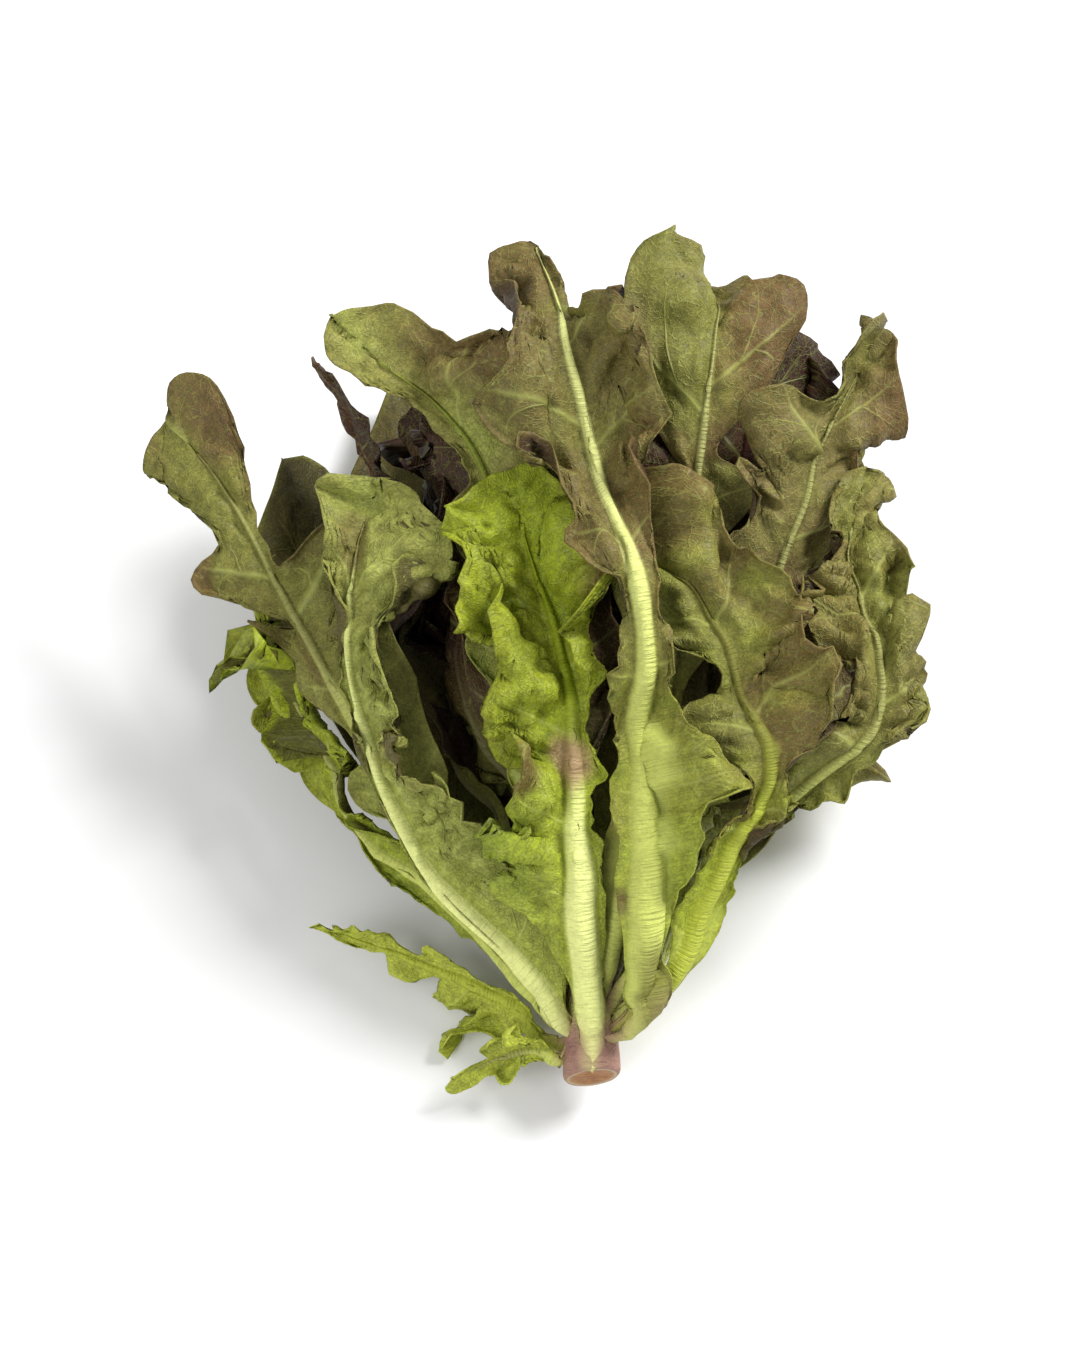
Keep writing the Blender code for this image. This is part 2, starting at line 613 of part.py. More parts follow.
def point_numbers(rays, steps):
    """The number of each point of a sheet's grid: the two sides of a blade share the rib's."""
    last = rays // 2
    number = np.empty((rays, steps), int)
    number[:, 1:] = np.arange(rays * (steps - 1)).reshape(rays, steps - 1) + last + 1
    number[:, 0] = np.minimum(np.arange(rays), rays - 1 - np.arange(rays))
    return number


def triangles_of(number):
    """The triangles of a sheet, as three point numbers each."""
    a, b, c, d = number[:-1, :-1], number[1:, :-1], number[1:, 1:], number[:-1, 1:]
    ray, column = np.indices(a.shape)
    by_ac = split_by_ac(ray, column, number.shape[0] // 2)[..., None]
    first = np.where(by_ac, np.stack([a, b, c], axis=-1), np.stack([a, b, d], axis=-1))
    second = np.where(by_ac, np.stack([a, c, d], axis=-1), np.stack([b, c, d], axis=-1))
    return np.concatenate([first.reshape(-1, 3), second.reshape(-1, 3)])


def point_normals(points, faces):
    """The normal at each point, and half a blade's thickness along it for its faces to keep."""
    corner = points[faces]
    face_normal = np.cross(corner[:, 1] - corner[:, 0], corner[:, 2] - corner[:, 0])
    normal = np.zeros_like(points)
    for k in range(3):
        np.add.at(normal, faces[:, k], face_normal)
    normal /= np.maximum(np.linalg.norm(normal, axis=1), 1e-9)[:, None]
    face_way = face_normal / np.maximum(np.linalg.norm(face_normal, axis=1), 1e-9)[:, None]
    facing, shared = np.zeros(len(points)), np.zeros(len(points))
    for k in range(3):
        np.add.at(facing, faces[:, k], np.sum(normal[faces[:, k]] * face_way, axis=1))
        np.add.at(shared, faces[:, k], 1.0)
    return normal, BLADE / 2 / np.clip(facing / shared, LEAST_FACING, 1.0)


def solid_mesh(name, points, rise):
    """A closed solid round the sheet: the inner face, the outer face with its rib, and the rim."""
    number = point_numbers(*points.shape[:2])
    count = number.max() + 1
    solid_points = np.zeros((2 * count, 3))
    inner, outer = thickened(to_lying(points), rise)
    solid_points[number.ravel()] = inner.reshape(-1, 3)
    solid_points[number.ravel() + count] = outer.reshape(-1, 3)
    solid_points[:count, 2] = np.maximum(solid_points[:count, 2], FLOOR + BLADE)
    solid_points[count:, 2] = np.maximum(solid_points[count:, 2], FLOOR)
    faces = triangles_of(number)
    rim = np.array([*number[0, ::-1], *number[-1, 1:], *number[-2:0:-1, -1]])
    ahead = np.roll(rim, -1)
    walls = [np.stack([rim, ahead, ahead + count], axis=1), np.stack([rim, ahead + count, rim + count], axis=1)]
    mesh = bpy.data.meshes.new(name)
    solid_faces = np.concatenate([faces[:, ::-1], faces + count, *walls])
    mesh.from_pydata((solid_points * MM).tolist(), [], solid_faces.tolist())
    tidy = bmesh.new()
    tidy.from_mesh(mesh)
    bmesh.ops.recalc_face_normals(tidy, faces=tidy.faces)
    tidy.to_mesh(mesh)
    tidy.free()
    return mesh


def material(name):
    made = bpy.data.materials.get(name)
    if made:
        return made
    red, green, blue, rough = COLOURS[name]
    made = bpy.data.materials.new(name)
    made.use_nodes = True
    shader = made.node_tree.nodes["Principled BSDF"]
    shader.inputs["Base Color"].default_value = (red, green, blue, 1.0)
    shader.inputs["Roughness"].default_value = rough
    return made


def add_object(name, mesh, colour):
    mesh.materials.append(material(colour))
    bpy.context.scene.collection.objects.link(bpy.data.objects.new(name, mesh))


def turned(name, profile, sides):
    """A closed turned solid, from (along, radius) pairs on the head's axis."""
    shape = bmesh.new()
    rings = []
    for along, radius in profile:
        ring = []
        for k in range(sides):
            angle = 2 * math.pi * k / sides
            point = to_lying(np.array([radius * math.sin(angle), along, radius * math.cos(angle)]))
            ring.append(shape.verts.new(point * MM))
        rings.append(ring)
    for low, high in zip(rings, rings[1:]):
        for k in range(sides):
            shape.faces.new([low[k], low[(k + 1) % sides], high[(k + 1) % sides], high[k]])
    shape.faces.new(rings[0][::-1])
    shape.faces.new(rings[-1])
    bmesh.ops.recalc_face_normals(shape, faces=shape.faces)
    mesh = bpy.data.meshes.new(name)
    shape.to_mesh(mesh)
    shape.free()
    return mesh


def add_stem():
    profile = [(along, float(stem_radius(along))) for along in STEM_RINGS]
    add_object("stem", turned("stem", profile, STEM_SIDES), "stem")


def add_leaf(leaf, columns, pile):
    """Lays one leaf on the pile and makes its solid."""
    points, rise = sheet_of(leaf, stations_of(leaf)[0], columns, pile)
    add_object(leaf.name, solid_mesh(leaf.name, points, rise), leaf.colour)
    fine_points, fine_rise = sheet_of(leaf, np.linspace(0.0, 1.0, FINE_RAYS), FINE_COLUMNS, pile)
    pile.add(points, rise)
    pile.add(fine_points, fine_rise)


def centre_on_floor():
    """Moves everything so that the box round it stands on the floor with its centre at zero."""
    meshes = [made.data for made in bpy.data.objects]
    corners = np.array([vertex.co for mesh in meshes for vertex in mesh.vertices])
    low, high = corners.min(axis=0), corners.max(axis=0)
    shift = Vector((-(low[0] + high[0]) / 2, -(low[1] + high[1]) / 2, -low[2]))
    for mesh in meshes:
        mesh.transform(Matrix.Translation(shift))


def main():
    for old in list(bpy.data.objects):
        bpy.data.objects.remove(old)
    pile = Pile()
    add_stem()
    for leaf in young_leaves():
        add_leaf(leaf, YOUNG_COLUMNS, pile)
    for leaf in [*inner_leaves(), *UNDER_LEAVES, *SHOWN_LEAVES]:
        add_leaf(leaf, LEAF_COLUMNS, pile)
    centre_on_floor()


main()
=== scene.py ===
"""The looks of a loose-leaf lettuce head with lobed leaves, lying on its side.

Every leaf of the frame is replaced by a fine one of the same form. The frame's leaves are first
laid round the stem as they were made, which gives each leaf its rib and the place of its blade.
A fine sheet is then laid at the same place, its edges are curled and ruffled, and it is pushed
clear of the fine leaves inside it. Lengths are in millimetres until the meshes are made.
"""

import math
from collections import namedtuple

import bpy
import numpy as np
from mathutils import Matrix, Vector


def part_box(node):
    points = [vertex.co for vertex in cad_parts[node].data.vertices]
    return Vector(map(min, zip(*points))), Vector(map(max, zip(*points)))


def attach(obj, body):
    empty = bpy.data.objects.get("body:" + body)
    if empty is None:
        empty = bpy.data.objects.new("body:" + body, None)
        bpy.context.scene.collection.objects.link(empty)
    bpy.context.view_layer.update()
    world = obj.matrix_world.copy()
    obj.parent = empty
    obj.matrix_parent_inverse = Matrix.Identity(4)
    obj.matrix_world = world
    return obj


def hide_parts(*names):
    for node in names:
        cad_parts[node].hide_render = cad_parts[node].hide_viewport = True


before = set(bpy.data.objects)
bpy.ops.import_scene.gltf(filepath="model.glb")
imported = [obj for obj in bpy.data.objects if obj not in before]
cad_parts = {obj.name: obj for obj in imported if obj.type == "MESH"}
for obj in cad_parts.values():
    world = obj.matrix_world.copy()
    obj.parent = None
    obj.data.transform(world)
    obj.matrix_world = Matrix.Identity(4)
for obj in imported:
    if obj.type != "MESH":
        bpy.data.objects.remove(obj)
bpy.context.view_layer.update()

MM = 0.001

# The stem of the frame.
STEM_RADIUS = 9.5
STEM_NECK_RADIUS = 8.6
STEM_NECK_AT = 14.0
STEM_STALK_RADIUS = 5.5
STEM_STALK_AT = 52.0
STEM_TIP_RADIUS = 1.2
STEM_LENGTH = 94.0
STEM_SIDES = 20
STEM_RINGS = (0.0, 3.0, 8.0, STEM_NECK_AT, 24.0, 34.0, 44.0, STEM_STALK_AT, 66.0, 80.0, STEM_LENGTH)

# The leaves that are placed by rule, from the youngest out, as in the frame.
YOUNG_LEAVES = 7
YOUNG_FIRST = (60.0, 84.0, 0.16, 24.0)
YOUNG_CHANGE = (2.0, 9.0, 0.05, 1.0)
YOUNG_WAVE = 3.0
INNER_LEAVES = 10
INNER_FIRST = (49.0, 142.0, 0.46, 43.0)
INNER_CHANGE = (-2.0, 5.5, 0.05, 0.0)
INNER_WAVE = 5.0
GOLDEN_ANGLE = math.radians(137.508)
RULE_SHARES = (0.0, 0.15, 0.35, 0.6, 0.8, 1.0)
RULE_LOBES = (0.44, 0.66, 0.87)
RULE_LOBE_LEAST, RULE_LOBE_GROWS, RULE_LOBE_VARIES = 0.78, 0.12, 0.1
RULE_TIP = 0.55
RULE_PETIOLE = 5.0
RULE_RIB = (4.5, 2.6)
RULE_BEND = 0.1
OUT_NEAR, OUT_FAR, OUT_AT, OUT_POWER = 8.0, 80.0, 200.0, 0.85
OUT_START_POWER = 0.6

# The lying head, as in the frame.
FLATTENED = 0.52
FLATTENED_FROM = 110.0
AXIS_RISE = math.radians(11.0)
UNDERSIDE = -11.0
UNDERSIDE_PRESSED = 0.6
UNDERSIDE_SOFT = 1.5

# The sway of the leaf mass, as in the frame.
SWAY_FROM = 40.0
SWAY_REACH = 160.0
SWAY_DEPTH = 50.0
SWAY_ACROSS = ((2.5, 0.0, 0.038, 0.032, 0.0), (1.5, 0.0, -0.025, 0.053, 0.0))
SWAY_ALONG = ((2.0, 0.048, 0.0, 0.029, 0.0),)
SWAY_OUT = ((1.5, 0.042, -0.034, 0.0, 2.4), (-1.5, 0.042, 0.034, 0.0, 2.4), (1.5, 0.077, -0.045, 0.0, 0.0))

# The frame's sheets: their thickness and the room between one and the next.
BLADE = 0.9
ROOM_AT_STEM = 1.15
ROOM_AT_TIPS = 2.8
ROOM_REACH = 110.0
SOFT_AT_STEM = 0.3
SOFT_AT_TIPS = 1.5
LEAST_FACING = 0.85
YOUNG_COLUMNS = (0.0, 1.0, 2.0)
LEAF_COLUMNS = (0.0, 1.0, 1.5, 2.0)
FINE_COLUMNS = (0.0, 0.35, 0.7, 1.0, 1.2, 1.4, 1.6, 1.8, 2.0)
FINE_RAYS = 33

# The rays of a blade, its rib and its outline, as in the frame.
RAY_ANGLE = math.radians(70.0)
RAY_TURN = 9.0
FRAME_RELAX = 45.0
RIB_SAMPLES = 120
RIB_SPREAD = 4
RIB_FREE = 30.0
RIB_TIP_HALF_WIDTH = 1.0
RIB_NARROWS = 1.3
RIB_FADE = 0.85
LEAST_WRAP_RADIUS = 12.0
FRAME_LEAST_BLADE = 1.0
PETIOLE_AT = 0.08
PETIOLE_GROWN = 1.5
NOTCH = 0.62
NOTCH_LEAST = 2.0
LOBE_HALF = 0.27
LOBE_LOW, LOBE_HIGH = 0.9, 0.88
TIP_STATIONS = (0.62, 0.3, 0.0)
TIP_REACH = (0.92, 1.1, 0.92)
TIP_NECK = 6.0
TIP_LOBE_PAST = 0.3
WAVE_TURN, RIPPLE_TURN = 17.0, 29.0
WAVE_RIPPLE = 0.6
WAVE_LIFT = 0.8
WAVE_GROWN = 0.45

# The pile that the leaves are laid on.
PILE_LOW = -30.0
PILE_HIGH = 330.0
PILE_CELL = 2.0
PILE_ANGLES = 180
OVERSAMPLE = 8
NO_ROOF = 150.0
ROOF_ROOM = 0.5
ROOF_PUSH = 7.0
RELIEF_PRESSED = 0.5
FINE_BLURS = 4
EASED_OVER = (1, 2, 4)
SETTLE_ROUNDS = 8
SOFT_LIMIT = 4.0

# The fine leaves: half their thickness on the blade and at the base, the room that each keeps
# to those inside it, the furthest that one is pushed for it, and how they end softly above the
# floor and below the top of the head. Each leaf has seeds of its own for its noise.
THIN = 0.26
THICK_AT_BASE = 0.9
THICK_REACH = 0.16
BASE_THINS = 0.8
RIB_ROUND = 0.8
FINE_ROOM = 0.8
FINE_PUSH = 10.0
COVERED_RELIEF = 0.5
FLOOR_ROOM = 0.7
FLOOR_SOFT = 0.6
HEAD_TOP = 127.3
HEAD_TOP_SOFT = 1.6
LEAST_HEIGHT = 0.05
FIRST_SEED = 100
SEEDS_APART = 10

# The joint of a leaf to the stem: how far it runs on down past the rib's own base, how deep its
# end is sunk, and how much narrower and lower the rib grows there. JOINT_LOW has the leaves that
# join at another height, with their height, bend and depth.
JOINT = 0.05
JOINT_RAYS = 8
JOINT_SAMPLES = 12
JOINT_LENGTH = 8.0
JOINT_LOWEST = 13.0
JOINT_SUNK = 2.2
JOINT_BEND = 1.2
JOINT_NARROWER = 0.35
JOINT_LOWER = 0.95
JOINT_GROWN = 0.13
JOINT_LOW = {"leaf_front": (3.0, 0.5, 0.8)}
JOINT_FIXED = 0.02
GATHERED = 0.42
GATHERED_FROM = 14.0
GATHERED_TO = 75.0
GATHERED_REACH = 18.0

# The outline of a fine blade: its rays, which fan out within a lobe, the round lobes' size where
# the leaf has none of its own, the wings between them, and the teeth. Places and reaches along
# the rib are shares of its length.
FINE_RAY_ANGLE = math.radians(62.0)
FINE_RAY_TURN = 6.0
FAN = 0.34
LOBE_ROUND = 0.5
LOBE_OFFSET = 0.035
TIP_ROUND = 0.7
WING_FROM = 0.01
WING_GROWN = 0.15
WING_FADES = 0.3
WING_FADED = 0.6
LEAST_BLADE = 0.6
LAST_LOBE_LEAST = 0.01
MARGIN_LENGTH = 9.0
MARGIN_CHANGE = 1.1
TOOTH_LENGTH = 3.2
MARGIN_LINE, TOOTH_LINE = 7.3, 3.7
MARGIN_GROWN = 0.2
OUTLINE_ROUNDS = 10

# How far the wide parts of a fine blade lift off with the frame's wave.
BEND_REACH = 36.0
BEND_MOST = 0.85

# The folds of a fine blade: its lobes are tilted and its edge is rolled, each by its own amounts
# out of the draws for two sides, three amounts and sixteen half lobes. Both are calm at the tip.
LOBE_DRAWS = (2, 3, 16)
LOBE_TILT = 0.3
TILT_USUAL = 0.25
TILT_REACH = 10.0
CURL_USUAL, CURL_BY_LOBE, CURL_BY_PLACE = 0.5, 0.8, 0.8
CURL_LEAST, CURL_MOST = -0.2, 1.8
CURL_ANGLE = 1.5
CURL_POWER = 1.5
CURL_LENGTH = 30.0
CURL_LINE = 3.1
CURL_START = 0.4
CURL_LONGEST = 18.0
FOLD_CALM, FOLD_CALM_FROM, FOLD_CALM_OVER = 0.85, 0.74, 0.16

# The relief of a fine blade: the lengths of its waves and folds here, their heights in each look.
# The layers are read at places of the noise that lie apart.
RELIEF_GROWN = 0.26
RUFFLE_LENGTH = 15.0
RUFFLE_FINER = 0.45
RUFFLE_POWER, FRILL_POWER = 1.5, 4
FRILL_LENGTH = 5.5
PUCKER_SIZE = (12.0, 6.0)
PUCKER_LEAN = 0.4
CREASE_LENGTH = 15.0
CREASE_FINER = 9.0
CREASE_SHARE = 0.55
QUILT_LENGTH = 7.0
QUILT_FINER = 2.1
FINER_HEIGHT = 0.5
VEIN_HEIGHT = 0.7
VEIN_WIDTH = 1.7
VEIN_GAP = 0.2
PLEAT = 0.5
PLEAT_REACH = 12.0
BLADE_REACH = 8.0
RELIEF_CALM, RELIEF_CALM_FROM, RELIEF_CALM_OVER = 0.5, 0.84, 0.12
CRINKLE_SIZE = (7.0, 4.5)
CRINKLE_LEAN = 0.5
CRINKLE_REACH = 6.0
CRINKLE_RAISED, CRINKLE_RIDGE, CRINKLE_BUMP = 0.3, 0.45, 0.3
BUMP_LENGTH = 3.6
NOISE_CELLS = 64
NOISE_PLACES = (20, 30, 40)

# How a fine sheet's pushes are spread, so that its rib stays smooth.
COVERED_BLURS = 3
PUSH_GROWN = 0.15
RIB_COLUMNS = 6
RIB_STEADIES = 9.0
RIB_STEADY_ROUNDS = 7
RIB_MOST = 3.5

# Colours, as linear red, green and blue.
OLIVE = (0.180, 0.174, 0.034)
OLIVE_DULL = (0.162, 0.130, 0.037)
# Painted shade: the inner leaves' blades, darkened past their own colour so that the gaps between the
# outer leaves read as deep shade.
PAINTED_SHADE_OLIVE = (0.090, 0.075, 0.025)
GREEN = (0.225, 0.275, 0.032)
GREY_GREEN = (0.300, 0.330, 0.068)
LIME = (0.290, 0.355, 0.014)
YELLOW_GREEN = (0.420, 0.470, 0.050)
BROWN = (0.125, 0.068, 0.027)
RED_BROWN = (0.080, 0.027, 0.016)
# The real purple of the inner faces and inner leaves, deepened with painted shade so the gaps between
# leaves read near black.
PURPLE_WITH_PAINTED_SHADE = (0.030, 0.010, 0.009)
RIB_PALE = (0.800, 0.840, 0.300)
RIB_GREEN = (0.560, 0.610, 0.140)
RIB_GREY = (0.430, 0.440, 0.150)
RIB_SOFT = (0.330, 0.330, 0.105)
# Painted shade: the inner leaves' ribs, pale in the real head, darkened for the shade of the gaps they are
# seen in.
PAINTED_SHADE_RIB = (0.200, 0.190, 0.070)
PINK = (0.400, 0.230, 0.170)
SCAR = (0.400, 0.235, 0.150)
STUMP_BROWN = (0.240, 0.115, 0.100)
CUT = (0.430, 0.200, 0.060)
CUT_DARK = (0.270, 0.110, 0.035)
CUT_RIM = (0.520, 0.420, 0.250)
NET_PALE = (0.420, 0.470, 0.120)
FLOOR_GREY = (0.860, 0.860, 0.860)

# How the colours of a fine blade are spread over it. The pairs are where a change begins and how
# far it takes, as shares of the rib, of a ray or of the rib's half width.
PATCH_SIZE = (24.0, 28.0)
SPECK_SIZE = (8.0, 9.0)
LOBE_TONES = (2, 16)
BLADE_HIGH = (0.12, 0.5)
HIGH_SPECKS = 0.25
FLUSH_HIGH, FLUSH_OUT, FLUSH_PATCHES, FLUSH_SPECKS, FLUSH_LOBES = 0.55, 0.45, 0.5, 0.35, 0.5
FLUSH_SPARED = 0.35
PURPLE_LOW, PURPLE_PATCHES = 0.35, 0.5
MARGIN_TONE = (0.88, 0.12)
MARGIN_TINT = 0.35
LOBE_SHADES = 0.12
RIB_HIGH = (0.35, 0.35)
RIB_EDGE = (0.75, 0.45)
RIB_SHOWS, RIB_SHOWS_LESS, RIB_SHOWS_TO = 0.95, 0.25, (0.3, 0.7)
RIB_INSIDE = 0.6
WING_TONE = (0.1, 0.5)
WING_PALE, WING_PALE_REACH = 0.5, 20.0
RIM_TONE = (0.93, 0.07)
MARK_SHOWS, MARK_CORE, MARK_SPECKS = 0.85, 0.6, 0.4
PINK_TO = 0.05
PINK_MIDDLE, PINK_EDGE = 0.35, 0.6
WEB_RIB = (0.8, 0.5)

# The cut stump: its rings, close together low down, its lumps, and the cut, which slants: how far
# it runs back on the side that shows, and which way. The cut's own rings are shares of the first.
STUMP_LOW, STUMP_LOW_RINGS = 40.0, 61
STUMP_HIGH, STUMP_HIGH_RINGS = 42.0, 30
STUMP_SIDES = 96
LUMPS_ROUND = 9
LUMP_LENGTH = 9.0
LUMP_HEIGHT = 0.35
STUMP_SHRUNK, STUMP_SHRUNK_TO = 0.5, 9.0
CUT_EDGE = (0.9, 0.965, 0.99)
CUT_SLANT = 4.0
CUT_TURN = 0.5
CUT_SLANT_TO = 20.0
CUT_SHARES = (0.0, 0.2, 0.4, 0.6, 0.8, 0.92)
CUT_HOLLOW, CUT_ROUGH = 0.4, 0.12

# The colours of the stump. The pairs are where a change begins along the stem and how far it takes.
STUMP_GREEN = (14.0, 14.0)
STUMP_PALE, STUMP_PALE_TURN, STUMP_PALE_WIDTH = 0.5, 0.1, 0.55
STUMP_BROWNED, STUMP_BROWN_TO = 0.7, (10.0, 12.0)
STUMP_STREAKS, STUMP_STREAK = 6, 5
CUT_RIM_FROM = (0.75, 0.2)

# The leaf tissue. The nets of fine veins are (cells a millimetre, width), and the side veins are
# (how far they lean from the lobe's middle, where they begin along the ray, width).
NET_WARP, NET_WARPED = 0.12, 3.0
NETS = ((0.26, 0.05), (0.7, 0.09))
NET_SHARES = (0.5, 0.45)
NET_BLEND, NET_INSIDE, NET_OUTSIDE = 0.5, 0.2, 0.8
SIDE_VEINS = ((0.0, 0.0, 0.034), (-0.55, 0.3, 0.02), (0.5, 0.45, 0.02), (-0.9, 0.62, 0.015))
SIDE_VEIN_NARROWS, SIDE_VEIN_END = 0.3, 0.9
SIDE_VEIN_FADES, SIDE_VEIN_LEFT = 0.6, 0.2
MOTTLE, GRAIN = 0.35, 1.3
MOTTLE_TO, GRAIN_TO = (-0.2, 0.17), (-0.2, 0.2)
MOTTLE_ON_RIB = 0.3
NOISE_LOW, NOISE_HIGH = 0.3, 0.7
WRINKLE_STRETCH = (0.12, 0.9, 1.0)
BUMP_NET, BUMP_MOTTLE, BUMP_WRINKLE, BUMP_GRAIN = 0.5, 0.5, 2.2, 0.2
BUMP_STRENGTH, BUMP_DISTANCE = 0.8, 0.0008
ROUGHNESS = (0.45, 0.62)
LEAF_SPECULAR = 0.22
FLOOR_ROUGHNESS, FLOOR_SPECULAR = 0.9, 0.1

# The floor, the lights and the camera, in metres. A light is (name, place, size, energy), and the
# camera shows CAMERA_SEEN across at its target.
FLOOR_SIZE = 4.0
SKY = 0.45
LIGHTS = (
    ("key", (1.15, 0.75, 1.25), 0.7, 46.0),
    ("fill", (-1.2, -0.9, 1.3), 1.2, 19.0),
)
LIGHTS_TARGET = (0.0, 0.0, 0.04)
CAMERA_RISE = math.radians(67.0)
CAMERA_DISTANCE = 1.15
CAMERA_TARGET = (0.0, -0.004, 0.045)
CAMERA_SEEN = 0.345
CAMERA_SENSOR = 36.0

UP, DOWN = 0.0, math.pi

# A leaf, as in the frame: its rib as points (across, along, out) in the head's own frame, the
# half width of its petiole, its lobes as (place along the rib, left length, right length), the
# length past the rib's end, the rib's half width and height at its base, the height of its
# waves, how closely it wraps round the head, the way it faces where it doesn't, how far its
# edges flare out, its phase and its material slot.
Leaf = namedtuple("Leaf", "name rib petiole lobes tip rib_size wave wrap faces flare phase colour")

# How a fine leaf looks: its rays a side and steps across, the heights of its ruffle, its frill,
# its creases, its puckers, its quilting and its crinkles, how far its edge curls, how far its
# lobes tilt, the length of its teeth, the least width of its wings left and right of the rib, the
# colour of its blade low and high, how much it is flushed, the flush's colour, how purple its
# inner face is, the colours of its rib low and high, and its marks as (place along the rib,
# across, length, width, colour).
Look = namedtuple(
    "Look",
    "rays steps ruffle frill crease pucker quilt crinkle curl tilt teeth wings"
    " low high flush tint purple rib_low rib_high marks",
)

# A fine blade, by its points: their places, and for each ray its place along the rib, its side,
# the walk round the margin to the tip, its count of lobes, the points' distances off the rib's
# middle and past its edge and their shares of the ray, the rib's half width, the ray's length,
# the rib's length, the points laid flat, and how much of its waves it has.
Sheet = namedtuple("Sheet", "points at side walk turns off past_rib share edge reach length flat grown")

# The round lobes of a fine blade: on the left and on the right as (place along the rib, length,
# radius), and at the tip as (across, past the rib's end, radius).
Lobes = namedtuple("Lobes", "left right tips")

UNDER_LEAVES = [
    Leaf(
        "leaf_under_left",
        [(-9, 21, -4), (-40, 70, -12), (-68, 122, -18), (-84, 160, -22), (-92, 188, -24)],
        6, [(0.4, 32, 32), (0.62, 40, 42), (0.84, 34, 36)], 24, (5, 3), 3.0, 0.7, DOWN, 1.0, 0.6, "leaf",
    ),
    Leaf(
        "leaf_under_right",
        [(9, 21, -4), (40, 74, -10), (60, 124, -14), (70, 160, -16), (76, 190, -18)],
        6, [(0.4, 32, 32), (0.62, 40, 38), (0.84, 36, 32)], 24, (5, 3), 3.0, 0.7, DOWN, 1.0, 2.1, "leaf",
    ),
    Leaf(
        "leaf_under_mid_left",
        [(-5, 18, -9), (-22, 76, -27), (-38, 140, -38), (-50, 185, -44), (-56, 220, -48)],
        6, [(0.4, 34, 32), (0.62, 42, 40), (0.84, 38, 36)], 24, (5, 3), 2.0, 0.9, DOWN, 0.5, 3.3, "leaf",
    ),
    Leaf(
        "leaf_under_mid_right",
        [(6, 18, -8), (24, 76, -27), (38, 140, -37), (46, 185, -43), (50, 216, -47)],
        6, [(0.4, 32, 34), (0.62, 40, 40), (0.84, 36, 38)], 24, (5, 3), 2.0, 0.9, DOWN, 0.5, 4.6, "leaf",
    ),
    Leaf(
        "leaf_under_middle",
        [(1, 15, -11), (3, 70, -30), (2, 140, -42), (0, 190, -50), (-2, 226, -55)],
        6, [(0.4, 34, 34), (0.62, 42, 42), (0.84, 38, 38)], 24, (6, 1.2), 1.5, 0.9, DOWN, 0.0, 5.5, "leaf",
    ),
]

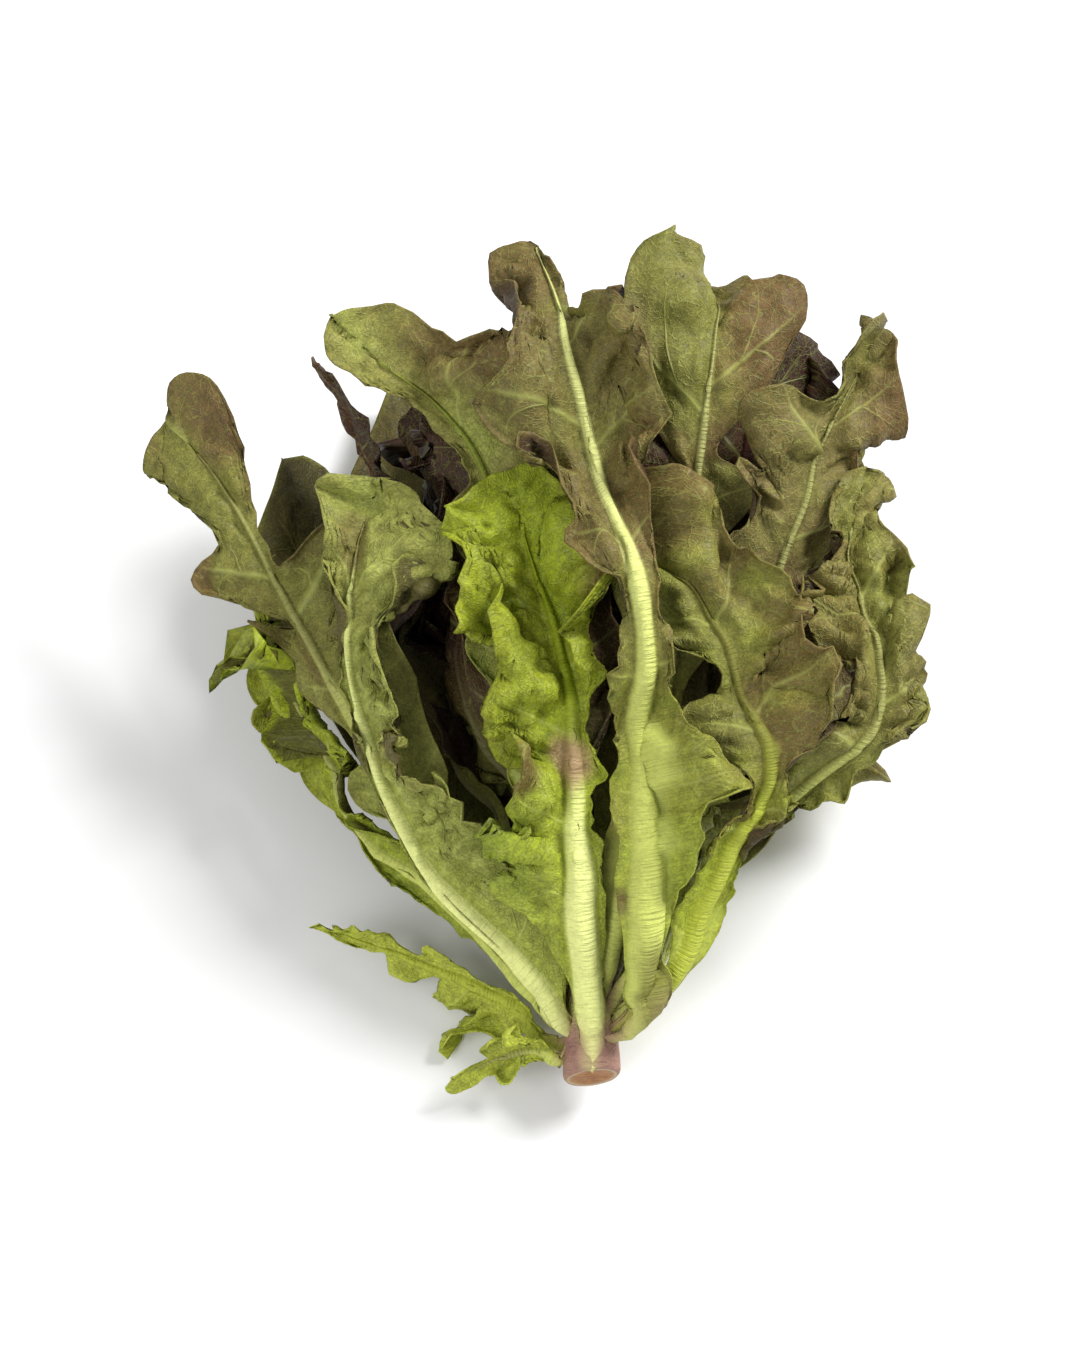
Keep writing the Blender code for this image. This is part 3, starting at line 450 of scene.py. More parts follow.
SHOWN_LEAVES = [
    Leaf(
        "leaf_upper_left",
        [(-5, 30, 8), (-16, 90, 24), (-26, 150, 32), (-36, 190, 35), (-50, 214, 35), (-68, 228, 32)],
        6, [(0.42, 26, 28), (0.62, 36, 38), (0.83, 34, 36)], 22, (5, 3), 3.5, 0.8, UP, 1.0, 0.4, "leaf",
    ),
    Leaf(
        "leaf_top",
        [
            (4, 30, 9), (17, 80, 25), (30, 130, 33), (36, 180, 37),
            (36, 214, 35), (38, 240, 30), (42, 256, 25),
        ],
        6, [(0.42, 24, 24), (0.62, 32, 30), (0.83, 46, 42)], 26, (5, 3), 3.5, 0.8, UP, 1.0, 1.9, "leaf",
    ),
    Leaf(
        "leaf_upper_right",
        [(8, 28, 7), (28, 80, 20), (44, 130, 27), (52, 170, 31), (57, 205, 30), (64, 226, 27)],
        6, [(0.42, 26, 28), (0.64, 36, 34), (0.85, 36, 34)], 22, (5, 3), 4.0, 0.7, UP, 1.0, 3.1, "leaf",
    ),
    Leaf(
        "leaf_far_left",
        [
            (-9, 22, 0), (-34, 56, 6), (-64, 98, 12), (-88, 137, 17),
            (-105, 163, 19), (-119, 184, 19), (-129, 198, 18),
        ],
        6, [(0.38, 20, 28), (0.57, 24, 40), (0.75, 28, 42), (0.92, 28, 30)],
        20, (5, 3), 4.0, 0.25, UP, 1.0, 4.4, "leaf",
    ),
    Leaf(
        "leaf_right",
        [
            (9, 17, 4), (23, 42, 9), (34, 64, 14), (44, 92, 19),
            (52, 122, 23), (56, 150, 25), (57, 172, 25),
        ],
        6, [(0.36, 26, 18), (0.56, 32, 26), (0.78, 34, 30)], 22, (6, 3.5), 3.5, 0.7, UP, 0.5, 5.2, "leaf",
    ),
    Leaf(
        "leaf_folded_right",
        [
            (8, 20, 6), (21, 46, 14), (29, 78, 22), (33, 106, 29),
            (33, 130, 35), (26, 148, 40), (13, 156, 43),
        ],
        5, [(0.38, 16, 16), (0.58, 24, 24), (0.8, 30, 28)], 26, (5, 3), 3.5, 0.4, UP, 1.0, 0.9, "leaf",
    ),
    Leaf(
        "leaf_low_left",
        [(-10, 18, -2), (-42, 52, -4), (-70, 86, -2), (-90, 116, 1), (-100, 138, 3), (-106, 154, 4)],
        6, [(0.34, 18, 14), (0.57, 28, 22), (0.8, 30, 28)], 24, (6, 3.5), 3.5, 0.6, UP, 1.0, 2.7, "leaf",
    ),
    Leaf(
        "leaf_left",
        [
            (-10, 16, 4), (-29, 39, 10), (-48, 60, 14), (-62, 86, 19),
            (-71, 114, 24), (-75, 137, 27), (-74, 158, 29), (-70, 174, 29),
        ],
        7, [(0.22, 9, 24), (0.4, 11, 34), (0.57, 12, 36), (0.73, 14, 32), (0.88, 22, 36)],
        20, (6.5, 4), 3.0, 0.6, UP, 0.0, 1.3, "leaf",
    ),
    Leaf(
        "leaf_front",
        [
            (0, 14, 10), (-3, 45, 20), (-5, 82, 30), (-5, 108, 35),
            (-9, 132, 36), (-16, 154, 35), (-20, 170, 34),
        ],
        8, [(0.3, 10, 9), (0.48, 22, 10), (0.67, 30, 14), (0.86, 34, 24)],
        20, (7, 4.5), 4.0, 0.8, UP, 0.0, 3.8, "leaf_bright",
    ),
    Leaf(
        "leaf_tall",
        [
            (10, 15, 8), (16, 52, 22), (17, 92, 33), (14, 121, 40), (9, 148, 43),
            (1, 182, 45), (-4, 213, 43), (-9, 240, 38), (-15, 257, 33),
        ],
        8, [(0.28, 10, 14), (0.45, 20, 17), (0.62, 18, 22), (0.8, 42, 28)],
        20, (7, 4.5), 3.5, 0.8, UP, 0.5, 5.7, "leaf",
    ),
    Leaf(
        "leaf_torn_left",
        [(-10, 12, -3), (-28, 23, -9), (-47, 33, -12), (-66, 42, -14), (-83, 49, -15)],
        5, [(0.35, 15, 8), (0.6, 18, 10), (0.82, 16, 14)],
        12, (4, 2), 2.0, 0.3, UP, 0.0, 0.2, "leaf_bright",
    ),
    Leaf(
        "leaf_torn_low",
        [(-11, 7, 1), (-22, 10, 0), (-35, 10, -2), (-48, 5, -4)],
        3.5, [(0.4, 8, 6), (0.75, 11, 11)], 10, (3, 2), 1.5, 0.3, UP, 0.0, 2.2, "leaf_bright",
    ),
]

YOUNG_LOOK = Look(
    rays=34, steps=16, ruffle=2.0, frill=0.6, crease=1.2, pucker=0.4, quilt=0.3, crinkle=0.6,
    curl=0.6, tilt=0.6, teeth=0.5, wings=(6, 6), low=OLIVE_DULL, high=RED_BROWN, flush=0.7,
    tint=RED_BROWN, purple=0.9, rib_low=RIB_GREEN, rib_high=RIB_GREY, marks=(),
)
# The inner leaves, seen only in the gaps between the outer ones: their own purple flush with painted shade
# in dark olive blades and dark ribs, so the gaps read as deep shade.
INNER_PAINTED_SHADE_LOOK = YOUNG_LOOK._replace(
    rays=84, steps=30, ruffle=7.0, frill=3.0, crease=5.5, pucker=2.0, quilt=0.6, curl=1.5, tilt=1.2,
    teeth=0.8, wings=(11, 11), low=PAINTED_SHADE_OLIVE, flush=0.9, tint=PURPLE_WITH_PAINTED_SHADE, rib_low=PAINTED_SHADE_RIB,
    rib_high=RED_BROWN,
)
UNDER_LOOK = YOUNG_LOOK._replace(
    rays=84, steps=30, crease=2.4, pucker=1.0, quilt=0.5, curl=0.7, tilt=0.5, teeth=0.0, wings=(9, 9),
    low=GREEN, high=OLIVE, flush=0.35, tint=BROWN, purple=0.6,
)
OUTER_LOOK = Look(
    rays=130, steps=40, ruffle=4.4, frill=0.9, crease=5.0, pucker=1.6, quilt=1.2, crinkle=1.0,
    curl=1.4, tilt=1.3, teeth=0.3, wings=(11, 11), low=GREEN, high=OLIVE, flush=0.65, tint=BROWN,
    purple=0.75, rib_low=RIB_GREEN, rib_high=RIB_SOFT, marks=(),
)
TORN_LOOK = OUTER_LOOK._replace(
    rays=60, steps=26, ruffle=2.0, frill=1.0, crease=1.5, pucker=0.6, teeth=1.0, wings=(4, 4),
    low=YELLOW_GREEN, high=YELLOW_GREEN, flush=0.0, purple=0.0,
)
LOOKS = {
    "leaf_inner_09": INNER_PAINTED_SHADE_LOOK._replace(curl=0.6, tilt=0.3, ruffle=5.0),
    "leaf_upper_left": OUTER_LOOK._replace(
        high=GREY_GREEN, flush=0.5, curl=1.6, crease=2.6, ruffle=3.4, frill=1.6, rib_high=GREEN,
        marks=((0.93, 30, 24, 20, BROWN),),
    ),
    "leaf_top": OUTER_LOOK._replace(
        low=OLIVE, flush=0.9, rib_high=RIB_GREY, crease=3.4, ruffle=4.0, frill=1.4, tilt=0.2, curl=0.2,
        marks=((0.93, 24, 20, 18, BROWN),),
    ),
    "leaf_upper_right": OUTER_LOOK._replace(high=OLIVE_DULL, flush=0.9, tilt=1.5, pucker=2.2),
    "leaf_far_left": OUTER_LOOK._replace(
        low=GREY_GREEN, flush=0.8, crease=3.4, ruffle=4.2, frill=1.6, curl=0.4, tilt=0.3, wings=(6, 6),
        marks=((1.0, 14, 14, 10, BROWN), (0.84, -30, 12, 10, BROWN), (0.72, 34, 14, 12, PURPLE_WITH_PAINTED_SHADE)),
    ),
    "leaf_right": OUTER_LOOK._replace(
        low=GREY_GREEN, flush=0.45, ruffle=5.0, pucker=3.6, crinkle=1.4, wings=(24, 14),
    ),
    "leaf_folded_right": OUTER_LOOK._replace(
        low=LIME, flush=0.7, rib_low=YELLOW_GREEN, rib_high=OLIVE, frill=1.6, crease=4.5, pucker=2.4,
        crinkle=1.3, curl=0.9, tilt=0.8, teeth=0.8,
    ),
    "leaf_low_left": OUTER_LOOK._replace(
        flush=0.3, wings=(12, 11), high=LIME, pucker=2.2, curl=0.7, tilt=0.7, crease=3.5, ruffle=3.5
    ),
    "leaf_left": OUTER_LOOK._replace(
        low=GREY_GREEN, high=GREY_GREEN, flush=0.3, rib_low=RIB_PALE, rib_high=RIB_PALE, pucker=3.4,
        crinkle=1.4, curl=0.9, wings=(8, 24),
        marks=((0.62, 33, 9, 8, RED_BROWN), (0.95, -2, 9, 4, OLIVE_DULL)),
    ),
    "leaf_front": OUTER_LOOK._replace(
        high=LIME, flush=0.2, purple=0.1, rib_low=RIB_PALE, rib_high=LIME, ruffle=6.5, frill=3.5,
        crease=8.0, pucker=3.2, tilt=1.2, teeth=1.0, wings=(17, 9),
        marks=((0.56, -1, 9, 5, SCAR), (0.52, -20, 7, 7, BROWN), (0.84, 18, 8, 7, BROWN)),
    ),
    "leaf_tall": OUTER_LOOK._replace(
        high=OLIVE_DULL, rib_high=RIB_PALE, ruffle=3.4, crease=4.0, pucker=2.2, crinkle=1.2, curl=0.8,
        wings=(10, 10), marks=((0.16, -7, 6, 2.5, BROWN), (0.05, 3, 16, 5, OLIVE)),
    ),
    "leaf_torn_left": TORN_LOOK._replace(
        rays=90, steps=34, ruffle=4.4, frill=1.8, crease=3.5, pucker=1.6, teeth=1.8, wings=(5, 4),
        rib_low=YELLOW_GREEN, rib_high=YELLOW_GREEN,
    ),
    "leaf_torn_low": TORN_LOOK,
}

LOBES = {
    "leaf_inner_09": Lobes(
        [(0.4, 26, 12), (0.62, 34, 14), (0.83, 34, 14)],
        [(0.45, 26, 12), (0.66, 34, 14), (0.87, 32, 14)],
        [(0, 5, 15)],
    ),
    "leaf_upper_left": Lobes(
        [(0.5, 22, 12), (0.68, 22, 12)],
        [(0.5, 26, 13), (0.66, 30, 14), (0.84, 40, 17)],
        [(0, 6, 14), (0, -8, 13)],
    ),
    "leaf_top": Lobes(
        [(0.45, 20, 10), (0.62, 24, 12), (0.8, 26, 13)],
        [(0.5, 20, 11), (0.68, 26, 13), (0.84, 26, 12)],
        [(-24, -9, 16), (-9, -1, 12), (2, 2, 9), (21, -14, 16)],
    ),
    "leaf_upper_right": Lobes(
        [(0.45, 24, 12), (0.64, 33, 15), (0.83, 34, 15)],
        [(0.52, 28, 14), (0.72, 34, 16), (0.89, 30, 14)],
        [(0, 4, 13)],
    ),
    "leaf_far_left": Lobes(
        [(0.4, 20, 11), (0.58, 26, 12), (0.77, 37, 13)],
        [(0.38, 24, 12), (0.52, 34, 15), (0.7, 44, 16)],
        [(-8, 3, 17), (9, 7, 15)],
    ),
    "leaf_right": Lobes(
        [(0.2, 24, 13), (0.38, 32, 16), (0.57, 32, 15), (0.78, 32, 15)],
        [(0.42, 20, 12), (0.65, 26, 14), (0.86, 28, 14)],
        [(0, 6, 14)],
    ),
    "leaf_folded_right": Lobes(
        [(0.38, 15, 9), (0.6, 22, 12), (0.82, 27, 14)],
        [(0.42, 16, 9), (0.63, 28, 14), (0.82, 29, 14)],
        [(-8, 5, 14), (9, 6, 13)],
    ),
    "leaf_low_left": Lobes(
        [(0.4, 20, 11), (0.62, 27, 14), (0.8, 24, 12)],
        [(0.45, 18, 10), (0.66, 22, 12), (0.84, 24, 12)],
        [(0, 8, 10)],
    ),
    "leaf_left": Lobes(
        [(0.6, 11, 8), (0.88, 15, 10)],
        [(0.16, 33, 17), (0.33, 36, 17), (0.5, 33, 15), (0.66, 25, 11), (0.87, 38, 18)],
        [(3, 3, 14)],
    ),
    "leaf_front": Lobes(
        [(0.25, 21, 10), (0.41, 28, 13), (0.6, 32, 14), (0.82, 33, 16)],
        [(0.35, 11, 7), (0.55, 14, 8), (0.72, 19, 10), (0.88, 27, 13)],
        [(-4, 4, 15), (7, 6, 12)],
    ),
    "leaf_tall": Lobes(
        [(0.3, 13, 9), (0.45, 17, 10), (0.6, 20, 11), (0.745, 38, 17)],
        [(0.3, 17, 10), (0.46, 19, 10), (0.6, 16, 9), (0.72, 32, 14), (0.84, 27, 12)],
        [(-9, -4, 10), (-9, -17, 10), (-13, -30, 11)],
    ),
    "leaf_torn_left": Lobes(
        [(0.28, 19, 8), (0.5, 27, 9), (0.74, 15, 6)],
        [(0.35, 8, 5), (0.6, 12, 6), (0.84, 13, 6)],
        [(0, 13, 2), (0, 0, 5)],
    ),
    "leaf_torn_low": Lobes(
        [(0.35, 8, 5), (0.7, 13, 6)],
        [(0.3, 13, 6), (0.65, 17, 7)],
        [(-2, 5, 6)],
    ),
}

# Ribs that are set nearer to the middle than the frame's, against the pile that pushes them out.
FINE_RIBS = {
    "leaf_top": [
        (4, 30, 9), (15, 80, 25), (25, 130, 33), (29, 180, 37),
        (27, 210, 35), (26, 232, 31), (28, 247, 27),
    ],
    "leaf_tall": [
        (9, 15, 8), (12, 52, 22), (15, 92, 33), (13, 121, 40), (9, 148, 43),
        (1, 182, 45), (-4, 213, 43), (-9, 240, 38), (-16, 262, 33),
    ],
}


def smooth_step(value):
    value = np.clip(value, 0.0, 1.0)
    return value * value * (3.0 - 2.0 * value)


def rising(value, begin, over):
    """A smooth rise from 0 to 1 that begins at a value and takes so much more of it."""
    return smooth_step((value - begin) / over)


def softened(values, times):
    """A line of values, each smoothed with its neighbours a number of times."""
    for _ in range(times):
        values = np.convolve(np.pad(values, 1, mode="edge"), (0.25, 0.5, 0.25), mode="valid")
    return values


def through(points, count):
    """A smooth curve through the points, as count points evenly apart along it."""
    points = np.asarray(points, float)
    padded = np.vstack([2 * points[0] - points[1], points, 2 * points[-1] - points[-2]])
    curve = []
    for a, b, c, d in zip(padded, padded[1:], padded[2:], padded[3:]):
        for t in np.linspace(0.0, 1.0, 16, endpoint=False):
            bend = (2 * a - 5 * b + 4 * c - d) * t**2 + (3 * b - a - 3 * c + d) * t**3
            curve.append(0.5 * (2 * b + (c - a) * t + bend))
    curve = np.array([*curve, points[-1]])
    length = arc_length(curve)
    at = np.linspace(0.0, length[-1], count)
    return np.stack([np.interp(at, length, curve[:, k]) for k in range(3)], axis=1)


def arc_length(points):
    return np.concatenate([[0.0], np.cumsum(np.linalg.norm(np.diff(points, axis=0), axis=1))])


def off_axis(points):
    return np.hypot(points[..., 0], points[..., 2])


def pushed_out(points, distance):
    """The points, moved away from the head's axis by a distance each."""
    factor = 1.0 + distance / np.maximum(off_axis(points), 1e-6)
    return points * np.stack([factor, np.ones_like(factor), factor], axis=-1)


def flattening(along):
    """How much of its round depth the lying head keeps, at a length along its axis."""
    return 1.0 + (FLATTENED - 1.0) * smooth_step(along / FLATTENED_FROM)


def stem_radius(along):
    """The stem's radius, swollen a little at the cut and tapering to its growing tip."""
    neck = STEM_NECK_RADIUS + (STEM_RADIUS - STEM_NECK_RADIUS) * (1.0 - smooth_step(along / STEM_NECK_AT))
    to_stalk = smooth_step((along - STEM_NECK_AT) / (STEM_STALK_AT - STEM_NECK_AT))
    to_tip = np.clip((along - STEM_STALK_AT) / (STEM_LENGTH - STEM_STALK_AT), 0.0, 1.0)
    stalk = neck + (STEM_STALK_RADIUS - STEM_NECK_RADIUS) * to_stalk
    return stalk + (STEM_TIP_RADIUS - STEM_STALK_RADIUS) * to_tip


def growing(at_stem, at_tips, along):
    """A value that grows from the stem out to the tips."""
    return at_stem + (at_tips - at_stem) * smooth_step(along / ROOM_REACH)


def pressed_from_round(points):
    factor = flattening(points[..., 1])
    return points * np.stack([np.ones_like(factor), np.ones_like(factor), factor], axis=-1)


def to_round(points):
    """Points of the flattened head's frame, moved to the round head that leaves are laid in."""
    points = np.array(points, float)
    points[..., 2] /= flattening(points[..., 1])
    return points


def sway(waves, x, y, z):
    return sum(height * np.sin(x * a + y * b + z * c + start) for height, a, b, c, start in waves)


def to_lying(points):
    """Points of the round head, pressed flat, swayed, turned as the head lies and pressed down."""
    x, y, z = points[..., 0], points[..., 1], points[..., 2] * flattening(points[..., 1])
    grown = smooth_step((y - SWAY_FROM) / SWAY_REACH)
    x, y, z = (
        x + grown * sway(SWAY_ACROSS, x, y, z),
        y + grown * sway(SWAY_ALONG, x, y, z),
        z + grown * smooth_step(1.0 + z / SWAY_DEPTH) * sway(SWAY_OUT, x, y, z),
    )
    rise, run = math.sin(AXIS_RISE), math.cos(AXIS_RISE)
    y, z = y * run - z * rise, y * rise + z * run
    z = z + (1.0 - UNDERSIDE_PRESSED) * (soft_least(z, UNDERSIDE, UNDERSIDE_SOFT) - z)
    return np.stack([x, y, z], axis=-1)


def soft_least(value, least, soft):
    """The greater of a value and the least one, with a soft change between the two."""
    over = (value - least) / soft
    rounded = np.log1p(np.exp(np.clip(over, -2.0 * SOFT_LIMIT, SOFT_LIMIT)))
    return least + soft * np.where(over > SOFT_LIMIT, over, rounded)


def stations_of(leaf, notch_share=NOTCH):
    """Places along the rib where rays leave it, with the left and right lengths of the rays."""
    places, left, right = [0.0, PETIOLE_AT], [leaf.petiole] * 2, [leaf.petiole] * 2
    gap = leaf.lobes[1][0] - leaf.lobes[0][0]
    before = (leaf.lobes[0][0] - gap, leaf.petiole * PETIOLE_GROWN, leaf.petiole * PETIOLE_GROWN)
    after = (1.0 + TIP_LOBE_PAST * (1.0 - leaf.lobes[-1][0]), leaf.tip, leaf.tip)
    chain = [before, *leaf.lobes, after]
    for i in range(1, len(chain) - 1):
        place, reach_left, reach_right = chain[i]
        half = LOBE_HALF * min(place - chain[i - 1][0], chain[i + 1][0] - place)
        places += [0.5 * (place + chain[i - 1][0]), place - half, place, place + half]
        for reaches, reach, reach_before in (
            (left, reach_left, chain[i - 1][1]),
            (right, reach_right, chain[i - 1][2]),
        ):
            notch = notch_share * min(reach, reach_before) + NOTCH_LEAST
            reaches += [notch, reach * LOBE_LOW, reach, reach * LOBE_HIGH]
    end = 1.0 - places[-1]
    places += [1.0 - share * end for share in TIP_STATIONS]
    for reaches in (left, right):
        neck = TIP_REACH[0] * min(reaches[-1], leaf.tip + TIP_NECK)
        reaches += [neck, leaf.tip * TIP_REACH[1], leaf.tip * TIP_REACH[2]]
    return np.array(places), np.array(left), np.array(right)


def eased(at, places, values):
    """Values between stations, rounded at each station."""
    index = np.clip(np.searchsorted(places, at, side="right") - 1, 0, len(places) - 2)
    share = smooth_step((at - places[index]) / (places[index + 1] - places[index]))
    return values[index] + (values[index + 1] - values[index]) * share


def rib_frame(leaf, pile):
    """The rib, laid on the pile, with at each point its direction, the way right and the way out."""
    rib = through(to_round(leaf.rib), RIB_SAMPLES)
    lack = np.maximum(pile.lowest(rib) + BLADE / 2 - off_axis(rib), 0.0)
    far = lack
    for _ in range(RIB_SPREAD):
        padded = np.pad(far, 1, mode="edge")
        far = np.maximum(far, np.maximum(padded[2:], padded[:-2]))
    near, far = softened(lack, 1), softened(far, RIB_SPREAD * 2)
    rib = pushed_out(rib, near + (far - near) * smooth_step(arc_length(rib) / RIB_FREE))
    along = np.gradient(rib, axis=0)
    pace = np.linalg.norm(along, axis=1)
    along /= pace[:, None]
    angle = np.arctan2(rib[:, 0], rib[:, 2]) - leaf.faces
    angle = leaf.faces + leaf.wrap * ((angle + math.pi) % (2 * math.pi) - math.pi)
    round_way = np.stack([np.cos(angle), np.zeros_like(angle), -np.sin(angle)], axis=1)
    right = np.empty_like(rib)
    way = round_way[0]
    for i in range(RIB_SAMPLES):
        way = way + round_way[i] * min(1.0, pace[i] / FRAME_RELAX)
        way = way - np.dot(way, along[i]) * along[i]
        way /= np.linalg.norm(way)
        right[i] = way
    return rib, along, right, np.cross(right, along)


def sampled_lines(lines, places, at):
    """Lines of points that are given at some places along the rib, at others."""
    return [np.stack([np.interp(at, places, line[:, k]) for k in range(3)], axis=1) for line in lines]


def rib_half_width(leaf, at):
    return RIB_TIP_HALF_WIDTH + (leaf.rib_size[0] - RIB_TIP_HALF_WIDTH) * (1.0 - at) ** RIB_NARROWS


def rib_height(leaf, at, off_rib):
    """How far the rib stands out of the blade, at a place along it and a distance off it."""
    share = off_rib / rib_half_width(leaf, at)
    return leaf.rib_size[1] * (1.0 - RIB_FADE * at) * np.clip(1.0 - share**2, 0.0, 1.0)


def margin_lift(leaf, at, side):
    """How far the frame's wave lifts the edge of a blade."""
    wave = np.sin(WAVE_TURN * at + leaf.phase + side)
    wave = wave + WAVE_RIPPLE * np.sin(RIPPLE_TURN * at + 2.0 * leaf.phase + 2.5 * side)
    return (leaf.wave * (WAVE_LIFT + wave) + leaf.flare) * smooth_step(at / WAVE_GROWN)


def blade_points(leaf, at, side, off, bend, ray, frame_lines):
    """The points of a blade on its rays, wrapped round the head, before they are laid. Its
    margin's lift grows as the square of bend."""
    rib, along, sideways, out = frame_lines
    off_sideways = off * np.sin(ray)[:, None]
    turn = leaf.wrap / np.maximum(off_axis(rib), LEAST_WRAP_RADIUS)[:, None] * off_sideways
    across = np.sinc(turn / math.pi) * off_sideways * side[:, None]
    drop = -np.sinc(turn / 2 / math.pi) ** 2 * turn * off_sideways / 2
    lift = margin_lift(leaf, at, side)
    return (
        rib[:, None, :]
        + (off * np.cos(ray)[:, None])[..., None] * along[:, None, :]
        + across[..., None] * sideways[:, None, :]
        + (drop + lift[:, None] * bend**2)[..., None] * out[:, None, :]
    )


def both_sides(stations):
    """The places along the rib of a sheet's rays, from its left base round the tip to its right
    base, and the side of each: -1 on the left and 1 on the right."""
    at = np.concatenate([stations, stations[-2::-1]])
    return at, np.concatenate([-np.ones(len(stations)), np.ones(len(stations) - 1)])


def sheet_of(leaf, stations, columns, pile):
    """The frame's blade, laid on the pile, and how far its outer face rises off it."""
    places, left, right = stations_of(leaf)
    columns = np.array(columns)
    at, side = both_sides(stations)
    edge = rib_half_width(leaf, at)
    reach = np.where(side < 0, eased(at, places, left), eased(at, places, right))
    reach = np.maximum(reach, edge + FRAME_LEAST_BLADE)
    ray = RAY_ANGLE * (1.0 - at**RAY_TURN)
    lines = sampled_lines(rib_frame(leaf, pile), np.linspace(0, 1, RIB_SAMPLES), at)
    on_rib, on_blade = np.minimum(columns, 1.0), np.maximum(columns - 1.0, 0.0)
    off = edge[:, None] * on_rib + (reach - edge)[:, None] * on_blade
    points = blade_points(leaf, at, side, off, off / reach[:, None], ray, lines)
    rise = rib_height(leaf, at[:, None], off)
    return pile.settled(pile.laid(points), rise), rise


class Pile:
    """How far out from the head's axis the leaves already laid reach."""

    def __init__(self, blurs=1):
        self.blurs = blurs
        self.along = np.arange(PILE_LOW, PILE_HIGH, PILE_CELL)
        self.radius = np.repeat(stem_radius(self.along)[:, None], PILE_ANGLES, axis=1)
        self.cover = self.radius.copy()

    def place(self, points):
        """Where points are on the grid, in cells."""
        row = (points[..., 1] - PILE_LOW) / PILE_CELL
        column = np.arctan2(points[..., 0], points[..., 2]) / (2 * math.pi) * PILE_ANGLES
        return np.clip(row, 0.0, len(self.along) - 1.001), column % PILE_ANGLES

    def sampled(self, grid, points):
        """The grid's value at points."""
        row, column = self.place(points)
        r0, c0 = row.astype(int), column.astype(int)
        fr, fc = row - r0, column - c0
        r1, c1, c0 = r0 + 1, (c0 + 1) % PILE_ANGLES, c0 % PILE_ANGLES
        near = grid[r0, c0] * (1 - fr) + grid[r1, c0] * fr
        next_to = grid[r0, c1] * (1 - fr) + grid[r1, c1] * fr
        return near * (1 - fc) + next_to * fc

    def lowest(self, points):
        """The least distance from the axis at which points clear the pile."""
        return self.sampled(self.cover, points) + growing(ROOM_AT_STEM, ROOM_AT_TIPS, points[..., 1])

    def laid(self, points):
        """The points, pushed out from the axis until they clear the pile."""
        lowest = self.lowest(points) + BLADE / 2
        soft = growing(SOFT_AT_STEM, SOFT_AT_TIPS, points[..., 1])
        return pushed_out(points, soft_least(off_axis(points), lowest, soft) - off_axis(points))

    def settled(self, points, rise):
        """The sheet, raised until its faces, and not only its points, clear the pile."""
        for _ in range(SETTLE_ROUNDS):
            inner, outer = faces_of(points, rise)
            lack = np.maximum(self.lowest(inner) - off_axis(inner), self.lowest(outer) - off_axis(outer))
            lack = highest_near_points(lack)
            lack[:, 0] = np.maximum(lack[:, 0], lack[::-1, 0])
            if lack.max() <= 0.0:
                break
            points = pushed_out(points, np.maximum(lack, 0.0))
        return points

    def cells(self, points):
        """The cells of the grid that are nearest to points."""
        row, column = self.place(points)
        return np.rint(row).astype(int).ravel(), np.rint(column).astype(int).ravel() % PILE_ANGLES

    def add(self, faces):
        """Lays a sheet with the given faces on the pile."""
        for face in faces:
            np.maximum.at(self.radius, self.cells(face), off_axis(face).ravel())
        self.cover = spread(self.radius)
        for _ in range(self.blurs):
            self.cover = blurred(self.cover)


def faces_of(points, rise):
    """The inner and outer faces of a sheet, as many points in the round head's frame: they are a
    blade's thickness apart once the head is pressed flat."""
    inner, outer = thickened(pressed_from_round(points), rise)
    return to_round(oversampled(inner)), to_round(oversampled(outer))


def thickened(points, rise):
    """The inner and outer faces of a sheet, half a blade's thickness to each side of its points."""
    number = point_numbers(*points.shape[:2])
    middle = np.zeros((number.max() + 1, 3))
    middle[number.ravel()] = points.reshape(-1, 3)
    normal, half = point_normals(middle, triangles_of(number))
    normal, half = normal[number], half[number][..., None]
    return points - normal * half, points + normal * (half + rise[..., None])


def highest_near_points(fine):
    """For each point of a coarse grid, the highest value of the fine one on the faces round it."""
    padded = np.pad(fine, OVERSAMPLE, mode="edge")
    highest = np.full(fine[::OVERSAMPLE, ::OVERSAMPLE].shape, -np.inf)
    for i in range(2 * OVERSAMPLE + 1):
        for j in range(2 * OVERSAMPLE + 1):
            shifted = padded[i : i + fine.shape[0], j : j + fine.shape[1]]
            highest = np.maximum(highest, shifted[::OVERSAMPLE, ::OVERSAMPLE])
    return highest


def oversampled(grid):
    """A grid with OVERSAMPLE steps between neighbours each way, on the triangles of its solid."""
    i, u = steps_between(grid.shape[0])
    j, v = steps_between(grid.shape[1])
    a, b = grid[i][:, j], grid[i + 1][:, j]
    d, c = grid[i][:, j + 1], grid[i + 1][:, j + 1]
    u, v = u[:, None, None], v[None, :, None]
    by_ac = np.where(u >= v, a + u * (b - a) + v * (c - b), a + v * (d - a) + u * (c - d))
    by_bd = np.where(u + v <= 1, a + u * (b - a) + v * (d - a), c + (1 - u) * (d - c) + (1 - v) * (b - c))
    return np.where(split_by_ac(i[:, None], j[None, :], grid.shape[0] // 2)[..., None], by_ac, by_bd)


def steps_between(count):
    """For each step of a finer line, the point before it and how far on to the next it is."""
    at = np.linspace(0, count - 1, (count - 1) * OVERSAMPLE + 1)
    before = np.minimum(at.astype(int), count - 2)
    return before, at - before


def split_by_ac(ray, column, last):
    """Whether a quad of the sheet is split from its first corner."""
    return (ray < last) == (column % 2 == 1)


def spread(grid):
    """The highest value in each cell and the ones next to it."""
    grid = np.maximum(grid, np.maximum(np.roll(grid, 1, 1), np.roll(grid, -1, 1)))
    padded = np.pad(grid, ((1, 1), (0, 0)), mode="edge")
    return np.maximum(padded[1:-1], np.maximum(padded[:-2], padded[2:]))


def blurred(grid):
    grid = (np.roll(grid, 1, 1) + 2 * grid + np.roll(grid, -1, 1)) / 4
    padded = np.pad(grid, ((1, 1), (0, 0)), mode="edge")
    return (padded[:-2] + 2 * padded[1:-1] + padded[2:]) / 4


